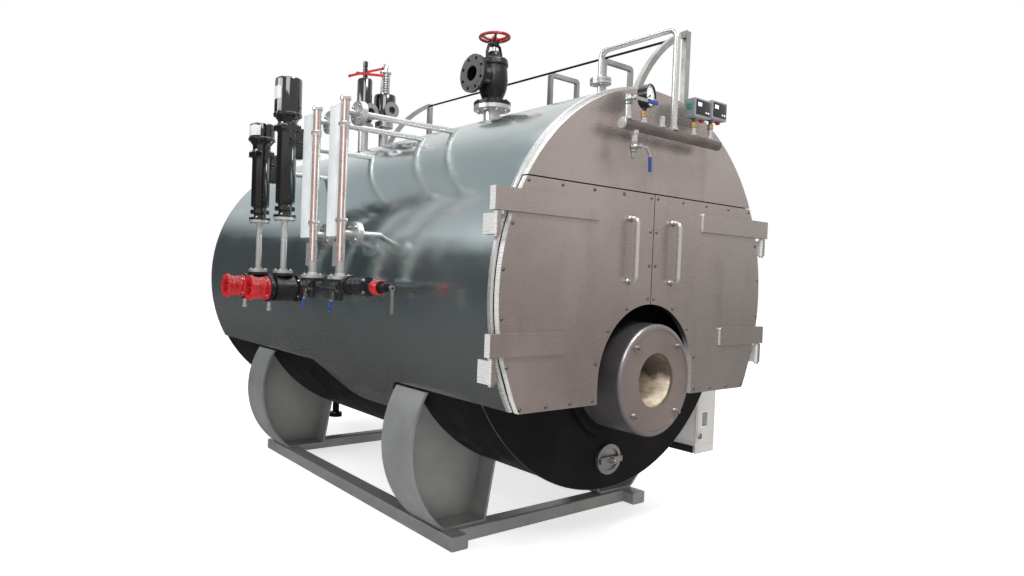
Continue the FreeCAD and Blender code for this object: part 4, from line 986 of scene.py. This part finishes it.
safety_bolts.append(bolt_ring(6, 51, (mm(closed_x), SAFETY_Y, mm(closed_z + 142)), UP))
safety_bolts.append(bolt_ring(4, 58, (mm(open_x), SAFETY_Y, mm(open_z + 196)), UP))
fit(joined(safety_bolts), "safety_bolts", plated)

# %% [markdown]
# ## The gauge header
# A short pipe across the front gathers the pressure instruments. Its couplings are bright
# turned rings, and the small fittings under each instrument are brass.

# %% Header couplings
HEADER_Z, SLEEVE_Z, DRAIN_X = 1773, 1800, -246


def ring_z(inner, outer, x, z, height):
    line = [(inner, 0), (outer - 1, 0), (outer, 1), (outer, height - 1), (outer - 1, height), (inner, height),
            (inner, 0)]
    return turned(line, (mm(x), HEADER_Y, mm(z)), steps=24)


STUBS = [(-290, 11, 1848), (-191, 8, 1816), (-78, 10, 1835), (138.5, 8, 1824), (260, 8, 1834)]
couplings = [ring_z(r - 0.5, r + 5, x, HEADER_Z + 18, 9) for x, r, top in STUBS]
couplings += [ring_z(r - 0.5, r + 1.6, x, SLEEVE_Z, top - SLEEVE_Z) for x, r, top in STUBS]
couplings += [ring_z(10.5, 12.6, DRAIN_X, 1710, 30), ring_z(10.5, 16, DRAIN_X, 1740, 16)]
couplings.append(ring_z(13, 18.5, 0, 1792, 12))
END_LINE = [(0, 0), (0, -6), (21.8, -6), (21.8, -1.5), (20, 0), (0, 0)]
end_plates = [turned(END_LINE, (mm(x), HEADER_Y, mm(HEADER_Z)), way)
              for x, way in ((-327.5, LEFT), (325.5, RIGHT))]
fit(joined(couplings + end_plates), "header_couplings", silver_paint)
fittings = [ring_z(8.2, 12, x, top, 22) for x, r, top in STUBS if r == 8]
fit(joined(fittings), "brass_fittings", brass)

# %% [markdown]
# The gauge has a white dial with a few marks and plain numbers and a black needle.
# Text starts as a curve, so it becomes a mesh before it is placed. All of it is built flat, and
# one matrix then carries it to the face of the turned case.

# %% Pressure gauge
GAUGE_TURN = math.radians(12)
GAUGE_CENTRE = Vector((mm(-185), HEADER_Y, mm(1897)))
gauge_frame = (Matrix.Translation(GAUGE_CENTRE) @ Matrix.Rotation(GAUGE_TURN, 4, "Z")
               @ Matrix.Rotation(math.radians(90), 4, "X"))


def on_gauge(o):
    only(o)
    o.matrix_world = gauge_frame @ o.matrix_world
    bpy.ops.object.transform_apply()
    return o


def dial_text(words, x, y, size):
    deselect()
    bpy.ops.object.text_add(location=(mm(x), mm(y), mm(15.7)))
    o = bpy.context.object
    o.data.body = words
    o.data.size = mm(size)
    o.data.align_x = "CENTER"
    o.data.align_y = "CENTER"
    o.data.extrude = mm(0.1)
    bpy.ops.object.convert(target="MESH")
    o = bpy.context.object
    bpy.ops.object.transform_apply()
    return o


dial = on_gauge(turned([(0, 14.8), (40.6, 14.8), (40.6, 15.5), (0, 15.5), (0, 14.8)]))
fit(dial, "gauge_dial", white_enamel)
marks = []
for i in range(31):
    angle = math.radians(225 - 9 * i)
    inner = 30 if i % 5 == 0 else 33
    c, s = math.cos(angle), math.sin(angle)
    marks.append(round_bar([(r * c, r * s, 15.7) for r in (inner, 37)], 0.6 if i % 5 == 0 else 0.35))
    if i % 5 == 0:
        marks.append(dial_text(str(i), 23.5 * c, 23.5 * s, 7))
needle_turn = math.radians(205)
marks.append(round_bar([(r * math.cos(needle_turn), r * math.sin(needle_turn), 17) for r in (-9, 29)], 0.9))
marks.append(turned([(0, 15.5), (4, 15.5), (4, 17.8), (3, 18.6), (0, 18.6)], steps=24))
fit(on_gauge(joined(marks)), "gauge_marks", black_steel, smooth=60)
bezel = turned([(39.8, 15.6), (45.0, 15.6), (46.6, 17), (46.6, 20.5), (44.5, 22), (41.5, 22), (39.8, 19),
                (39.8, 15.6)])
fit(on_gauge(bezel), "gauge_bezel", gloss_black)

# %% [markdown]
# The two pressure switches are grey boxes from the construction. Their front windows, dials,
# side plates and red cable plugs are thin pieces laid on the box, and all of them stay blank.

# %% Pressure switches
SWITCHES = (((103, 218), (1864, 1942)), ((226, 338), (1874, 1952)))
y_face = HEADER_Y * 1000 - 27
fronts, sides, plugs, whites = [], [], [], []
for (x0, x1), (z0, z1) in SWITCHES:
    fronts.append(bar((x0 + 8, y_face - 2.5, z0 + 10), (x1 - 8, y_face + 1, z1 - 8), 2))
    whites.append(bar((x0 + 16, y_face - 3.4, z1 - 34), (x0 + 44, y_face - 2, z1 - 18), 0.5))
    for x in (x1 - 40, x1 - 24):
        knob = [(0, 0), (4, 0), (4, 3), (3, 4), (0, 4)]
        whites.append(turned(knob, (mm(x), mm(y_face - 2), mm(z0 + 22)), AHEAD, 16))
    sides.append(bar((x0 - 1.2, y_face + 10, z0 + 30), (x0 + 1, y_face + 38, z0 + 56), 0.8))
    plugs.append(turned([(0, 0), (9, 0), (10, 2), (10, 12), (7, 14), (0, 14)],
                        (mm(x1 - 26), mm(y_face + 26), mm(z0 + 2)), DOWN, 20))
green = two_tone("green_plate", (0.02, 0.16, 0.12), (0.04, 0.26, 0.19), (0.3, 0.5), 0.0, 90.0, 0.1, 9.0)
fit(joined(fronts), "switch_windows", dark_window)
fit(joined(whites), "switch_dials", white_enamel)
fit(joined(sides), "switch_side_plates", green)
fit(joined(plugs), "switch_plugs", red_paint)

# %% [markdown]
# ## Flange bolts elsewhere
# Every other flange pair gets its bolts in the same way, from a short list of circles.

# %% Remaining bolts
circles = [(4, 33, (0, FRONT + mm(316), mm(2082)), UP),
           (4, 33, (0, FRONT + mm(316), mm(2056)), DOWN),
           (12, 212, (0, FRONT + mm(2989), FURNACE_Z), BACK),
           (4, 36, (0, FRONT + mm(2690), mm(125)), UP)]
spread_bolts = [bolt_ring(*circle) for circle in circles]
spread_bolts.append(copies(large_bolt, [(0, FRONT + mm(152), mm(382))], AHEAD))
spread_bolts.append(copies(large_bolt, [(0, FRONT + mm(3009), FURNACE_Z)], BACK))
fit(joined(spread_bolts), "other_bolts", plated)

# %% [markdown]
# ## Guard rod along the top
# A thin dark rod is stretched straight through the frames on top. The construction has it as
# part of the rail, so a slightly thicker dark bar is laid over it from end to end.

# %% Top line
line = round_bar([(210.7, -529, 2249), (210.7, 1406, 2280)], 5.6)
fit(line, "top_line", black_steel)

# %% [markdown]
# ## Control cabinet
# A sheet steel cabinet stands on the far side. Its door is a separate panel with a narrow
# shadow gap round it, a quarter-turn latch low down, and a small blank rating plate.

# %% Cabinet door and plate
door = bar((882, -246, 318), (1038, -241.5, 1370), 1.5)
side = bar((871.5, -232, 330), (874.5, 250, 1368), 1)
fit(joined([door, side]), "cabinet_panels", cabinet_paint)
plate_rim = bar((912, -248, 402), (972, -245, 488), 1)
plate_face = bar((917, -249, 407), (967, -246, 483), 0.6)
fit(plate_rim, "plate_rim", white_enamel)
fit(plate_face, "plate_face", switch_grey)
latch = turned([(0, 0), (12, 0), (12, 3), (9, 5), (9, 9), (0, 10)], (mm(898), mm(-246), mm(352)), AHEAD, 24)
fit(joined([latch, bar((894, -262, 346), (902, -254, 374), 2)]), "cabinet_latch", plated)
base_strip = bar((871.5, -226, 266), (881, 250, 300), 1)
fit(base_strip, "cabinet_base_strip", dark_window)

# %% [markdown]
# ## Weld beads
# The saddles are welded from plates. A bead is a thin round bar laid in the corner between two
# plates.

# %% Saddle welds
beads = []
for y in (93, 1671):
    for side_x in (-1, 1):
        for edge in (-101, 101):
            beads.append(round_bar([(side_x * 632, y + edge, 64), (side_x * 400, y + edge, 64)], 3.2))
for cross_y in (0, 1708):
    for side_x in (-1, 1):
        beads.append(round_bar([(side_x * 555, cross_y - 38, 61), (side_x * 555, cross_y + 38, 61)], 3))
fit(joined(beads), "saddle_welds", skid_paint, smooth=60)

# %% [markdown]
# The bolts and the screw that everything was copied from have done their work and are removed.

# %% Clear the patterns
for master in masters:
    bpy.data.objects.remove(master)
